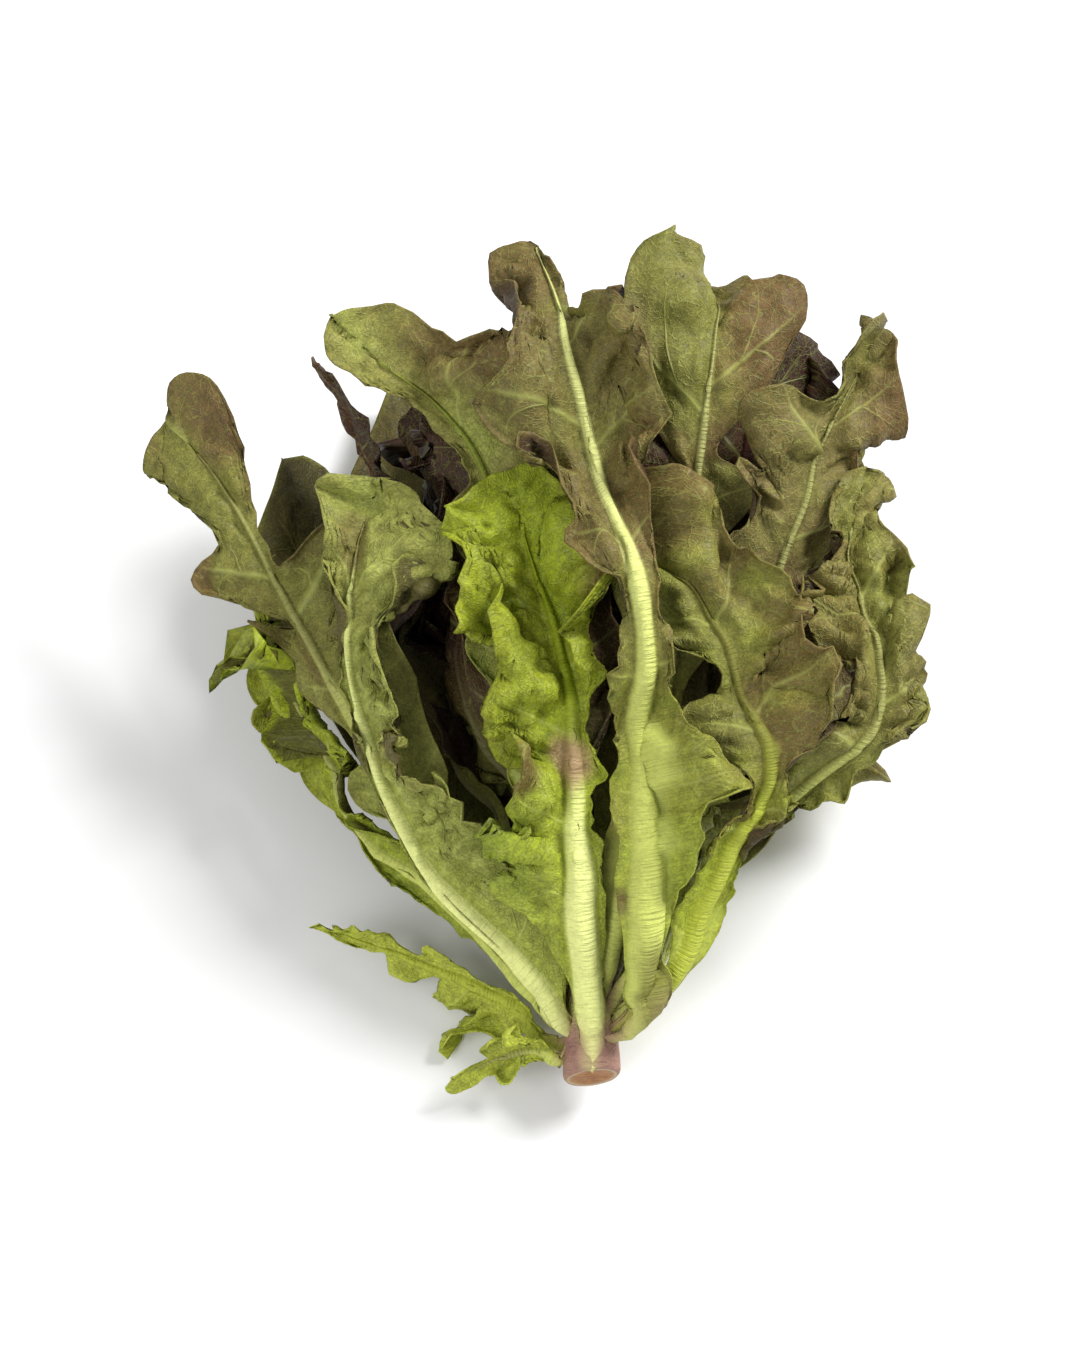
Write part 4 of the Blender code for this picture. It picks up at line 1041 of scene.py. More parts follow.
def rule_leaf(name, number, size, wave, colour):
    """A leaf placed by rule: each next one a golden angle on round the stem."""
    start, length, fullness, lobe = size
    rib = []
    for share in RULE_SHARES:
        along = start + length * share
        out = fullness * (OUT_NEAR + OUT_FAR * (along / OUT_AT) ** OUT_POWER) * share**OUT_START_POWER
        radius = stem_radius(along) + out
        turn = number * GOLDEN_ANGLE + RULE_BEND * math.sin(2.0 * share + 1.7 * number)
        rib.append((radius * math.sin(turn), along, radius * math.cos(turn) * flattening(along)))
    lobes = []
    for k, place in enumerate(RULE_LOBES):
        usual = RULE_LOBE_LEAST + RULE_LOBE_GROWS * k
        vary = RULE_LOBE_VARIES * math.sin(2.3 * number + 1.9 * k)
        lobes.append((place, lobe * (usual + vary), lobe * (usual - vary)))
    tip, phase = lobe * RULE_TIP, 1.3 * number
    return Leaf(name, rib, RULE_PETIOLE, lobes, tip, RULE_RIB, wave, 1.0, UP, 1.0, phase, colour)


def sizes_of(first, change, count):
    return [[value + step * k for value, step in zip(first, change)] for k in range(count)]


def young_leaves():
    return [
        rule_leaf(f"leaf_young_{k + 1}", k, size, YOUNG_WAVE, "leaf_young")
        for k, size in enumerate(sizes_of(YOUNG_FIRST, YOUNG_CHANGE, YOUNG_LEAVES))
    ]


def inner_leaves():
    return [
        rule_leaf(f"leaf_inner_{k + 1:02d}", k + YOUNG_LEAVES, size, INNER_WAVE, "leaf")
        for k, size in enumerate(sizes_of(INNER_FIRST, INNER_CHANGE, INNER_LEAVES))
    ]


def point_numbers(rays, steps):
    """The number of each point of a sheet's grid: the two sides of a blade share the rib's."""
    last = rays // 2
    number = np.empty((rays, steps), int)
    number[:, 1:] = np.arange(rays * (steps - 1)).reshape(rays, steps - 1) + last + 1
    number[:, 0] = np.minimum(np.arange(rays), rays - 1 - np.arange(rays))
    return number


def triangles_of(number):
    """The triangles of a sheet, as three point numbers each."""
    a, b, c, d = number[:-1, :-1], number[1:, :-1], number[1:, 1:], number[:-1, 1:]
    ray, column = np.indices(a.shape)
    by_ac = split_by_ac(ray, column, number.shape[0] // 2)[..., None]
    first = np.where(by_ac, np.stack([a, b, c], axis=-1), np.stack([a, b, d], axis=-1))
    second = np.where(by_ac, np.stack([a, c, d], axis=-1), np.stack([b, c, d], axis=-1))
    return np.concatenate([first.reshape(-1, 3), second.reshape(-1, 3)])


def point_normals(points, faces):
    """The normal at each point, and half a blade's thickness along it for its faces to keep."""
    corner = points[faces]
    face_normal = np.cross(corner[:, 1] - corner[:, 0], corner[:, 2] - corner[:, 0])
    normal = np.zeros_like(points)
    for k in range(3):
        np.add.at(normal, faces[:, k], face_normal)
    normal /= np.maximum(np.linalg.norm(normal, axis=1), 1e-9)[:, None]
    face_way = face_normal / np.maximum(np.linalg.norm(face_normal, axis=1), 1e-9)[:, None]
    facing, shared = np.zeros(len(points)), np.zeros(len(points))
    for k in range(3):
        np.add.at(facing, faces[:, k], np.sum(normal[faces[:, k]] * face_way, axis=1))
        np.add.at(shared, faces[:, k], 1.0)
    return normal, BLADE / 2 / np.clip(facing / shared, LEAST_FACING, 1.0)


def covers_of(leaves):
    """What the pile of the frame's leaves covered before each one was laid, as they were."""
    pile, covers = Pile(), []
    for leaf, columns, _ in leaves:
        covers.append(pile.cover)
        sheets = (
            sheet_of(leaf, stations_of(leaf)[0], columns, pile),
            sheet_of(leaf, np.linspace(0.0, 1.0, FINE_RAYS), FINE_COLUMNS, pile),
        )
        for points, rise in sheets:
            pile.add(faces_of(points, rise))
    return covers


def roofs_of(sheets, pile):
    """For each sheet, the least distance from the axis of the ones outside it, as a grid."""
    roof = np.full(pile.radius.shape, NO_ROOF)
    roofs = []
    for sheet in reversed(sheets):
        roofs.append(roof)
        own = np.full(roof.shape, NO_ROOF)
        np.minimum.at(own, pile.cells(sheet.points), off_axis(sheet.points).ravel())
        roof = np.minimum(roof, -spread(-own))
    return roofs[::-1]


def shift_of_frame():
    """How far the frame was moved to stand centred on the floor, read from its stem."""
    points = [
        (stem_radius(along) * math.sin(2 * math.pi * k / STEM_SIDES), along,
         stem_radius(along) * math.cos(2 * math.pi * k / STEM_SIDES))
        for along in STEM_RINGS
        for k in range(STEM_SIDES)
    ]
    return np.array(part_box("stem")[0]) / MM - to_lying(np.array(points)).min(axis=0)


def noise(x, y, seed):
    """Smooth noise from -1 to 1 over a plane, with one value to each unit square."""
    table = np.random.default_rng(seed).uniform(-1.0, 1.0, (NOISE_CELLS, NOISE_CELLS))
    x, y = np.broadcast_arrays(x, y)
    x0, y0 = np.floor(x).astype(int), np.floor(y).astype(int)
    u, v = smooth_step(x - x0), smooth_step(y - y0)
    x1, y1 = (x0 + 1) % NOISE_CELLS, (y0 + 1) % NOISE_CELLS
    x0, y0 = x0 % NOISE_CELLS, y0 % NOISE_CELLS
    near = table[x0, y0] * (1 - u) + table[x1, y0] * u
    far = table[x0, y1] * (1 - u) + table[x1, y1] * u
    return near * (1 - v) + far * v


def gathered(points):
    """The points, drawn in towards the stem near its foot, where the leaf bases crowd together."""
    share = smooth_step((points[..., 1] - GATHERED_FROM) / (GATHERED_TO - GATHERED_FROM))
    past_stem = np.clip(off_axis(points) - stem_radius(points[..., 1]), 0.0, GATHERED_REACH)
    return pushed_out(points, -past_stem * (1.0 - GATHERED) * (1.0 - share))


def lobes_of(leaf):
    """The lobes of a fine blade: its own, or round ones at the frame's places."""
    if leaf.name in LOBES:
        return LOBES[leaf.name]
    left = [(place - LOBE_OFFSET, length, length * LOBE_ROUND) for place, length, _ in leaf.lobes]
    right = [(place + LOBE_OFFSET, length, length * LOBE_ROUND) for place, _, length in leaf.lobes]
    return Lobes(left, right, [(0, leaf.tip * (1.0 - TIP_ROUND), leaf.tip * TIP_ROUND)])


def turns_of(lobes, at):
    """A count along one side of the rib that is a whole number at each of its lobes."""
    places = [lobe[0] for lobe in lobes]
    before = places[0] - (places[1] - places[0])
    after = max(1.0, places[-1] + LAST_LOBE_LEAST)
    return np.interp(at, [before, *places, after], np.arange(len(places) + 2))


def reach_of(lobes, tips, at, ray, length, sign):
    """How far the rays of one side reach: each to the far edge of the last round lobe it meets."""
    start = at * length
    way = np.stack([np.sin(ray), np.cos(ray)])
    circles = []
    for place, far, radius in lobes:
        middle = far - radius
        circles.append((
            middle * math.sin(FINE_RAY_ANGLE),
            place * length + middle * math.cos(FINE_RAY_ANGLE),
            radius,
        ))
    circles += [(sign * across, length + past, radius) for across, past, radius in tips]
    reach = np.zeros_like(at)
    for across, along, radius in circles:
        ahead = across * way[0] + (along - start) * way[1]
        beside = across * way[1] - (along - start) * way[0]
        inside = radius**2 - beside**2
        far = ahead + np.sqrt(np.maximum(inside, 0.0))
        reach = np.maximum(reach, np.where(inside > 0.0, far, 0.0))
    return reach


def rounded(reach, ray, start, side):
    """The rays, turned and cut so that the outline that they reach runs on without loops."""
    across, along = reach * np.sin(ray), start + reach * np.cos(ray)
    for half in (side < 0, side > 0):
        across[half] = softened(across[half], OUTLINE_ROUNDS)
        along[half] = softened(along[half], OUTLINE_ROUNDS)
    return np.hypot(across, along - start), np.arctan2(across, along - start)


def joined_frame(leaf, pile):
    """The rib and its directions, run on down into the stem, with their places along the rib."""
    lines = rib_frame(leaf, pile)
    base = lines[0][0]
    turn = math.atan2(base[0], base[2])
    usual = (max(base[1] - JOINT_LENGTH, JOINT_LOWEST), JOINT_BEND, JOINT_SUNK)
    low, bend, depth = JOINT_LOW.get(leaf.name, usual)
    share = np.linspace(0.0, 1.0, JOINT_SAMPLES, endpoint=False)
    along = low + (base[1] - low) * share
    sunk = float(stem_radius(low)) - depth
    radius = sunk + (math.hypot(base[0], base[2]) - sunk) * share**bend
    rib = np.stack([radius * math.sin(turn), along, radius * math.cos(turn)], axis=1)
    way = np.gradient(np.vstack([rib, base]), axis=0)[:-1]
    way /= np.linalg.norm(way, axis=1)[:, None]
    right = np.repeat(lines[2][:1], JOINT_SAMPLES, axis=0)
    joined = [
        np.vstack([rib, lines[0]]),
        np.vstack([way, lines[1]]),
        np.vstack([right, lines[2]]),
        np.vstack([np.cross(right, way), lines[3]]),
    ]
    places = np.concatenate([-JOINT * (1.0 - share), np.linspace(0.0, 1.0, RIB_SAMPLES)])
    return places, joined


def outline_of(leaf, look, seed, length):
    """The rays of a fine blade, from its left base round the tip to its right base: each one's
    place along the rib, side, walk, count of lobes, rib's half width, angle and reach."""
    joint = np.linspace(-JOINT, 0.0, JOINT_RAYS, endpoint=False)
    at, side = both_sides(np.concatenate([joint, np.linspace(0.0, 1.0, look.rays)]))
    walk = side * (1.0 - at) * length
    lobes = lobes_of(leaf)
    turns = np.where(side < 0, turns_of(lobes.left, at), turns_of(lobes.right, at))
    narrowed = 1.0 - JOINT_NARROWER * (1.0 - rising(at, -JOINT, JOINT_GROWN))
    edge = rib_half_width(leaf, np.maximum(at, 0.0)) * narrowed
    free = np.clip(1.0 - np.maximum(at, 0.0) ** FINE_RAY_TURN, 0.0, 1.0)
    ray = (FINE_RAY_ANGLE - FAN * np.sin(2 * math.pi * turns) * blade_grown(at)) * free
    reach = np.where(
        side < 0,
        reach_of(lobes.left, lobes.tips, at, ray, length, -1.0),
        reach_of(lobes.right, lobes.tips, at, ray, length, 1.0),
    )
    wing = np.where(side < 0, look.wings[0], look.wings[1]) * rising(at, WING_FROM, WING_GROWN)
    wing = wing * (1.0 - WING_FADES * smooth_step(at / WING_FADED))
    reach = np.maximum(np.maximum(reach, wing), edge + LEAST_BLADE)
    reach, ray = rounded(reach, ray, at * length, side)
    margin = MARGIN_CHANGE * noise(walk / MARGIN_LENGTH, MARGIN_LINE, seed)
    margin = margin + look.teeth * noise(walk / TOOTH_LENGTH, TOOTH_LINE, seed)
    reach = np.maximum(reach + margin * smooth_step(at / MARGIN_GROWN), edge + LEAST_BLADE)
    return at, side, walk, turns, edge, ray, reach


def blade_grown(at):
    """How much of its folds a blade has, at a place along the rib."""
    return rising(at, PETIOLE_AT, RELIEF_GROWN)


def laid_sheet(leaf, look, seed, pile):
    """The fine blade, laid on the frame's pile without its relief, in the round head's frame."""
    leaf = leaf._replace(rib=FINE_RIBS.get(leaf.name, leaf.rib))
    rib_places, lines = joined_frame(leaf, pile)
    length = arc_length(lines[0])[-1]
    at, side, walk, turns, edge, ray, reach = outline_of(leaf, look, seed, length)
    across_rib = np.linspace(0.0, 1.0, RIB_COLUMNS)
    across_blade = np.linspace(0.0, 1.0, look.steps - RIB_COLUMNS + 1)[1:]
    off = np.hstack([
        edge[:, None] * across_rib,
        edge[:, None] + (reach - edge)[:, None] * across_blade,
    ])
    flat = np.stack([
        side[:, None] * off * np.sin(ray)[:, None],
        at[:, None] * length + off * np.cos(ray)[:, None],
        np.full_like(off, seed),
    ], axis=-1)
    past_rib = np.maximum(off - edge[:, None], 0.0)
    bend = BEND_MOST * np.tanh(off / BEND_REACH / BEND_MOST)
    lines = sampled_lines(lines, rib_places, at)
    points = blade_points(leaf, np.maximum(at, 0.0), side, off, bend, ray, lines)
    lift = steadied(off_axis(pile.laid(points)) - off_axis(points), past_rib)
    points = pushed_out(points, lift * smooth_step(at / JOINT_FIXED)[:, None])
    share, grown = off / reach[:, None], blade_grown(at)
    return Sheet(points, at, side, walk, turns, off, past_rib, share, edge, reach, length, flat, grown)


def shaped_points(look, sheet, seed, pile, roof):
    """The points of a laid sheet with its folds and relief, clear of the fine leaves inside it and
    under those outside."""
    points, at = sheet.points, sheet.at
    covered = spread((roof < NO_ROOF).astype(float))
    for _ in range(COVERED_BLURS):
        covered = blurred(covered)
    free_air = 1.0 - (1.0 - COVERED_RELIEF) * pile.sampled(covered, points)
    points = pressed_from_round(points)
    points = to_round(bent(points, look, sheet, free_air, seed))
    points = pushed_out(points, -over_roof(points, roof, sheet, pile))
    points = pressed_from_round(points)
    calm = 1.0 - RELIEF_CALM * rising(at, RELIEF_CALM_FROM, RELIEF_CALM_OVER)
    relief = relief_of(look, sheet, seed) * calm[:, None]
    points = to_round(points + normals_of(points) * (relief * free_air * sheet.grown[:, None])[..., None])
    points = pushed_out(points, -RELIEF_PRESSED * over_roof(points, roof, sheet, pile))
    lack = pile.sampled(pile.cover, points) + FINE_ROOM - off_axis(points)
    lack = steadied(eased_grid(np.clip(lack, 0.0, FINE_PUSH)), sheet.past_rib)
    points = pushed_out(points, lack * smooth_step(at / PUSH_GROWN)[:, None])
    points = pressed_from_round(points)
    crinkle = crinkle_of(look, sheet, seed) * sheet.grown[:, None]
    return to_round(points + normals_of(points) * crinkle[..., None])


def over_roof(points, roof, sheet, pile):
    """How far points stand above the underside of the fine leaves outside them."""
    over = off_axis(points) - pile.sampled(roof, points) + ROOF_ROOM
    return steadied(eased_grid(np.clip(over, 0.0, ROOF_PUSH)), sheet.past_rib)


def envelope(values):
    """A smooth line that stays above a line of values."""
    for _ in range(RIB_STEADY_ROUNDS):
        padded = np.pad(values, 1, mode="edge")
        values = np.maximum(values, np.maximum(padded[2:], padded[:-2]))
    return softened(values, RIB_STEADY_ROUNDS**2)


def steadied(lift, past_rib):
    """A sheet's lift, the same all over the rib, and falling from there to the blade's own."""
    strip = lift[:, :RIB_COLUMNS].max(axis=1)
    strip = np.maximum(strip, strip[::-1])
    strip = envelope(np.minimum(strip, RIB_MOST))[:, None]
    fall = 1.0 - smooth_step(past_rib / RIB_STEADIES)
    return np.maximum(lift, strip * fall)


def eased_grid(values):
    """A sheet's values, each raised to its neighbours' and then smoothed, alike on both sides
    of the rib."""
    for apart in EASED_OVER:
        values = shifted_grids(values, apart).max(axis=0)
    for apart in (*EASED_OVER, 1):
        grids = shifted_grids(values, apart)
        values = (2 * grids[0] + grids[1:].sum(axis=0)) / 6
    return values


def shifted_grids(values, apart):
    """A sheet's values, and those of the points so far off along and across, past the rib too."""
    wide = np.hstack([values[::-1, apart:0:-1], values, np.repeat(values[:, -1:], apart, axis=1)])
    wide = np.pad(wide, ((apart, apart), (0, 0)), mode="edge")
    rows, columns = values.shape
    middle, far = slice(apart, apart + rows), slice(apart, apart + columns)
    return np.stack([
        values,
        wide[:rows, far],
        wide[2 * apart:, far],
        wide[middle, :columns],
        wide[middle, 2 * apart:],
    ])


def by_lobe(values, sheet, place):
    """Values drawn for each side and lobe, at each ray, smooth from one to the next."""
    place = np.clip(place, 0.0, values.shape[-1] - 1.001)
    low, on = place.astype(int), smooth_step(place % 1.0)
    row = (sheet.side > 0).astype(int)
    return values[row, low] * (1.0 - on) + values[row, low + 1] * on


def bent(points, look, sheet, free_air, seed):
    """The sheet with each lobe tilted off it and its edge rolled outward, by its own amounts."""
    draws = np.random.default_rng(seed + 1).uniform(-1.0, 1.0, LOBE_DRAWS)
    grown = smooth_step(sheet.at / RELIEF_GROWN)
    calm = 1.0 - FOLD_CALM * rising(sheet.at, FOLD_CALM_FROM, FOLD_CALM_OVER)
    shown = free_air.mean(axis=1) * calm
    tilt = TILT_USUAL + by_lobe(draws[:, 0], sheet, 2.0 * sheet.turns)
    tilt = look.tilt * LOBE_TILT * tilt * grown * shown
    curl = CURL_USUAL + CURL_BY_LOBE * by_lobe(draws[:, 1], sheet, 2.0 * sheet.turns)
    curl = curl + CURL_BY_PLACE * noise(sheet.walk / CURL_LENGTH, CURL_LINE, seed + 1)
    curl = np.clip(curl, CURL_LEAST, CURL_MOST) * look.curl * CURL_ANGLE * grown * shown
    width = sheet.reach - sheet.edge
    start = np.maximum(width * CURL_START, width - CURL_LONGEST)
    rolled = np.clip((sheet.past_rib - start[:, None]) / (width - start)[:, None], 0.0, 1.0)
    angle = tilt[:, None] * smooth_step(sheet.past_rib / TILT_REACH) + curl[:, None] * rolled**CURL_POWER
    step = np.diff(points, axis=1)
    size = np.linalg.norm(step, axis=2, keepdims=True)
    way = step / np.maximum(size, 1e-9)
    normal = normals_of(points)[:, 1:]
    normal = normal - np.sum(normal * way, axis=2, keepdims=True) * way
    normal /= np.maximum(np.linalg.norm(normal, axis=2, keepdims=True), 1e-9)
    turn = angle[:, 1:, None]
    moved = size * (np.cos(turn) * way + np.sin(turn) * normal)
    return np.concatenate([points[:, :1], points[:, :1] + np.cumsum(moved, axis=1)], axis=1)


def ridges(x, y, seed):
    """Noise from -1 to 1 with sharp crests."""
    return 1.0 - 2.0 * np.abs(noise(x, y, seed))


def relief_of(look, sheet, seed):
    """How far each point of a blade stands off its smooth sheet."""
    x, y = sheet.flat[..., 0], sheet.flat[..., 1]
    share, walk = sheet.share, sheet.walk[:, None]
    first, second, third = NOISE_PLACES
    ruffle = noise(walk / RUFFLE_LENGTH, share + first, seed + 2)
    ruffle = ruffle + FINER_HEIGHT * noise(walk / (RUFFLE_FINER * RUFFLE_LENGTH), share + first, seed + 3)
    frill = noise(walk / FRILL_LENGTH, share + first, seed + 10) * share**FRILL_POWER
    leaning = y - PUCKER_LEAN * np.abs(x)
    pucker = ridges(x / PUCKER_SIZE[0] + first, leaning / PUCKER_SIZE[1], seed + 11)
    crease = ridges(x / CREASE_LENGTH + first, y / CREASE_LENGTH, seed + 8)
    crease = crease + FINER_HEIGHT * ridges(x / CREASE_FINER + second, y / CREASE_FINER, seed + 9)
    quilt = noise(x / QUILT_LENGTH + first, y / QUILT_LENGTH, seed + 4)
    fine_x, fine_y = QUILT_FINER * x / QUILT_LENGTH + third, QUILT_FINER * y / QUILT_LENGTH
    quilt = quilt + FINER_HEIGHT * noise(fine_x, fine_y, seed + 7)
    from_vein = np.abs((sheet.turns + 0.5) % 1.0 - 0.5)[:, None]
    vein = np.exp(-((from_vein * sheet.length * VEIN_GAP / VEIN_WIDTH) ** 2))
    vein = VEIN_HEIGHT * vein * (1.0 - share)
    pleat = -PLEAT * look.crease * from_vein * np.minimum(sheet.past_rib / PLEAT_REACH, 1.0)
    blade = smooth_step(sheet.past_rib / BLADE_REACH)
    edge_waves = look.ruffle * ruffle * share**RUFFLE_POWER + look.frill * frill
    folds = look.crease * CREASE_SHARE * crease + look.pucker * pucker
    return blade * (edge_waves + folds + look.quilt * quilt) + vein + pleat


def crinkle_of(look, sheet, seed):
    """How far the small crinkles between the veins stand out."""
    x, y = sheet.flat[..., 0], sheet.flat[..., 1]
    leaning = y - CRINKLE_LEAN * np.abs(x)
    ridge = ridges(x / CRINKLE_SIZE[0] + NOISE_PLACES[0], leaning / CRINKLE_SIZE[1], seed + 12)
    bump = noise(x / BUMP_LENGTH + NOISE_PLACES[0], y / BUMP_LENGTH, seed + 13)
    height = CRINKLE_RAISED + CRINKLE_RIDGE * ridge + CRINKLE_BUMP * bump
    return look.crinkle * smooth_step(sheet.past_rib / CRINKLE_REACH) * height


def normals_of(points):
    """The normal at each point of a sheet's grid."""
    number = point_numbers(*points.shape[:2])
    middle = np.zeros((number.max() + 1, 3))
    middle[number.ravel()] = points.reshape(-1, 3)
    return point_normals(middle, triangles_of(number))[0][number]


def blend(a, b, share):
    """Colours between two, by a share for each point."""
    return np.asarray(a) + (np.asarray(b) - np.asarray(a)) * np.clip(share, 0.0, 1.0)[..., None]


def leaf_tones(look, sheet, seed):
    """The colour of each point of the outer and the inner face."""
    share, at = sheet.share, sheet.at[:, None] * np.ones_like(sheet.share)
    x, y = sheet.flat[..., 0], sheet.flat[..., 1]
    patch = noise(x / PATCH_SIZE[0] + NOISE_PLACES[0], y / PATCH_SIZE[1], seed + 5)
    speck = noise(x / SPECK_SIZE[0] + NOISE_PLACES[0], y / SPECK_SIZE[1], seed + 6)
    draws = np.random.default_rng(seed + 6).uniform(-1.0, 1.0, LOBE_TONES)
    lobe = by_lobe(draws, sheet, sheet.turns)[:, None]
    high = rising(at, *BLADE_HIGH)
    tone = blend(look.low, look.high, high + HIGH_SPECKS * speck)
    flush = FLUSH_HIGH * high + FLUSH_OUT * share + FLUSH_PATCHES * patch + FLUSH_SPECKS * speck
    flush = smooth_step(flush + FLUSH_LOBES * lobe - FLUSH_SPARED)
    tone = blend(tone, look.tint, look.flush * flush)
    # The inner face takes the real purple, whose dark value also holds painted shade.
    inner = blend(tone, PURPLE_WITH_PAINTED_SHADE, look.purple * smooth_step(PURPLE_LOW + high + PURPLE_PATCHES * patch))
    margin = rising(share, *MARGIN_TONE) * (0.5 + 0.5 * patch)
    tone = blend(tone, look.tint, MARGIN_TINT * margin * min(1.0, look.flush * 2.0))
    tone = tone * (1.0 + LOBE_SHADES * lobe * high)[..., None]
    rib_tone = blend(look.rib_low, look.rib_high, rising(at, *RIB_HIGH))
    ribbed = 1.0 - rising(sheet.off / sheet.edge[:, None], *RIB_EDGE)
    ribbed = ribbed * (RIB_SHOWS - RIB_SHOWS_LESS * rising(at, *RIB_SHOWS_TO))
    wing = (1.0 - rising(at, *WING_TONE)) * WING_PALE
    wing = wing * (1.0 - smooth_step(sheet.past_rib / WING_PALE_REACH))
    tone = blend(blend(tone, YELLOW_GREEN, wing), rib_tone, ribbed)
    inner = blend(inner, tone, rising(share, *RIM_TONE))
    inner = blend(inner, rib_tone, RIB_INSIDE * ribbed)
    for place, across, long, wide, colour in look.marks:
        from_mark = np.hypot((x - across) / wide, (y - place * sheet.length) / long)
        marked = 1.0 - smooth_step(from_mark - MARK_CORE + MARK_SPECKS * speck)
        tone = blend(tone, colour, MARK_SHOWS * marked)
    pink = 1.0 - rising(at, -JOINT, PINK_TO + JOINT)
    pink = pink * (PINK_MIDDLE + PINK_EDGE * smooth_step(sheet.off / sheet.edge[:, None]))
    return blend(tone, PINK, pink), blend(inner, PINK, pink)


def thickness_of(leaf, sheet):
    """Half the thickness of a fine leaf at each point, and how far its rib stands out there."""
    at = np.maximum(sheet.at, 0.0)
    joint = 1.0 - JOINT_LOWER * (1.0 - rising(sheet.at, -JOINT, JOINT_GROWN))
    rise = leaf.rib_size[1] * (1.0 - RIB_FADE * at) * joint
    off = sheet.off / sheet.edge[:, None]
    rise = rise[:, None] * np.clip(1.0 - off**2, 0.0, 1.0) ** RIB_ROUND
    base = (1.0 - smooth_step(at / THICK_REACH))[:, None]
    return THIN + (THICK_AT_BASE - THIN) * base * (1.0 - BASE_THINS * sheet.share), rise


def add_fine_leaf(leaf, look, sheet, seed, pile, roof, shift, made_of):
    """Makes one fine leaf round its middle layer, with its colours, and puts it in the frame."""
    points = shaped_points(look, sheet, seed, pile, roof)
    half, rise = thickness_of(leaf, sheet)
    pressed = pressed_from_round(points)
    pile.add([points, to_round(pressed + normals_of(pressed) * (half + rise)[..., None])])
    lying = to_lying(gathered(points)) + shift
    lying[..., 2] = soft_least(lying[..., 2], FLOOR_ROOM, FLOOR_SOFT)
    lying[..., 2] = HEAD_TOP - soft_least(HEAD_TOP - lying[..., 2], 0.0, HEAD_TOP_SOFT)
    normal = normals_of(lying)
    inner = lying - normal * half[..., None]
    outer = lying + normal * (half + rise)[..., None]
    for face in (inner, outer):
        face[..., 2] = np.maximum(face[..., 2], LEAST_HEIGHT)
    number, every = point_numbers(*points.shape[:2]), np.ones_like(sheet.share)
    ribbed = 1.0 - rising(sheet.off / sheet.edge[:, None], *WEB_RIB)
    web = np.stack([sheet.turns[:, None] * every, sheet.share, ribbed], axis=-1)
    outer_tone, inner_tone = leaf_tones(look, sheet, seed)
    outside = both_faces(number, 0.0 * every[..., None], every[..., None])
    mesh = closed_mesh(leaf.name + "_fine", number, inner, outer)
    store(mesh, "flat", "FLOAT_VECTOR", both_faces(number, sheet.flat, sheet.flat))
    store(mesh, "web", "FLOAT_VECTOR", both_faces(number, web, web))
    store(mesh, "tone", "FLOAT_COLOR", both_faces(number, inner_tone, outer_tone))
    store(mesh, "outside", "FLOAT", outside)
    mesh.materials.append(made_of)
    piece = added(leaf.name + "_fine", mesh)
    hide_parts(leaf.name)
    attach(piece, "root")


def added(name, data):
    """A new object in the scene."""
    made = bpy.data.objects.new(name, data)
    bpy.context.scene.collection.objects.link(made)
    return made


def both_faces(number, inner, outer):
    """The values of a grid's points on its inner and then on its outer face."""
    count = number.max() + 1
    values = np.zeros((2 * count, inner.shape[-1]))
    values[number.ravel()] = inner.reshape(-1, inner.shape[-1])
    values[number.ravel() + count] = outer.reshape(-1, outer.shape[-1])
    return values


def store(mesh, name, kind, values):
    if kind == "FLOAT_COLOR":
        values = np.hstack([np.maximum(values, 0.0), np.ones((len(values), 1))])
    key = {"FLOAT_COLOR": "color", "FLOAT_VECTOR": "vector", "FLOAT": "value"}[kind]
    mesh.attributes.new(name, kind, "POINT").data.foreach_set(key, values.astype(np.float32).ravel())


def closed_mesh(name, number, inner, outer):
    """A closed leaf: four-sided faces on its inner and outer sides and round its rim."""
    count = number.max() + 1
    a, b, c, d = number[:-1, :-1], number[1:, :-1], number[1:, 1:], number[:-1, 1:]
    quads = np.stack([a, b, c, d], axis=-1).reshape(-1, 4)
    rim = np.array([*number[0, ::-1], *number[-1, 1:], *number[-2:0:-1, -1]])
    ahead = np.roll(rim, -1)
    walls = np.stack([rim, ahead, ahead + count, rim + count], axis=1)
    quads = np.concatenate([quads[:, ::-1], quads + count, walls])
    return quad_mesh(name, both_faces(number, inner, outer), quads)


def quad_mesh(name, points, quads):
    mesh = bpy.data.meshes.new(name)
    mesh.vertices.add(len(points))
    mesh.vertices.foreach_set("co", (points * MM).astype(np.float32).ravel())
    mesh.loops.add(quads.size)
    mesh.loops.foreach_set("vertex_index", quads.astype(np.int32).ravel())
    mesh.polygons.add(len(quads))
    mesh.polygons.foreach_set("loop_start", np.arange(0, quads.size, 4, dtype=np.int32))
    mesh.update(calc_edges=True)
    mesh.shade_smooth()
    mesh.validate()
    return mesh


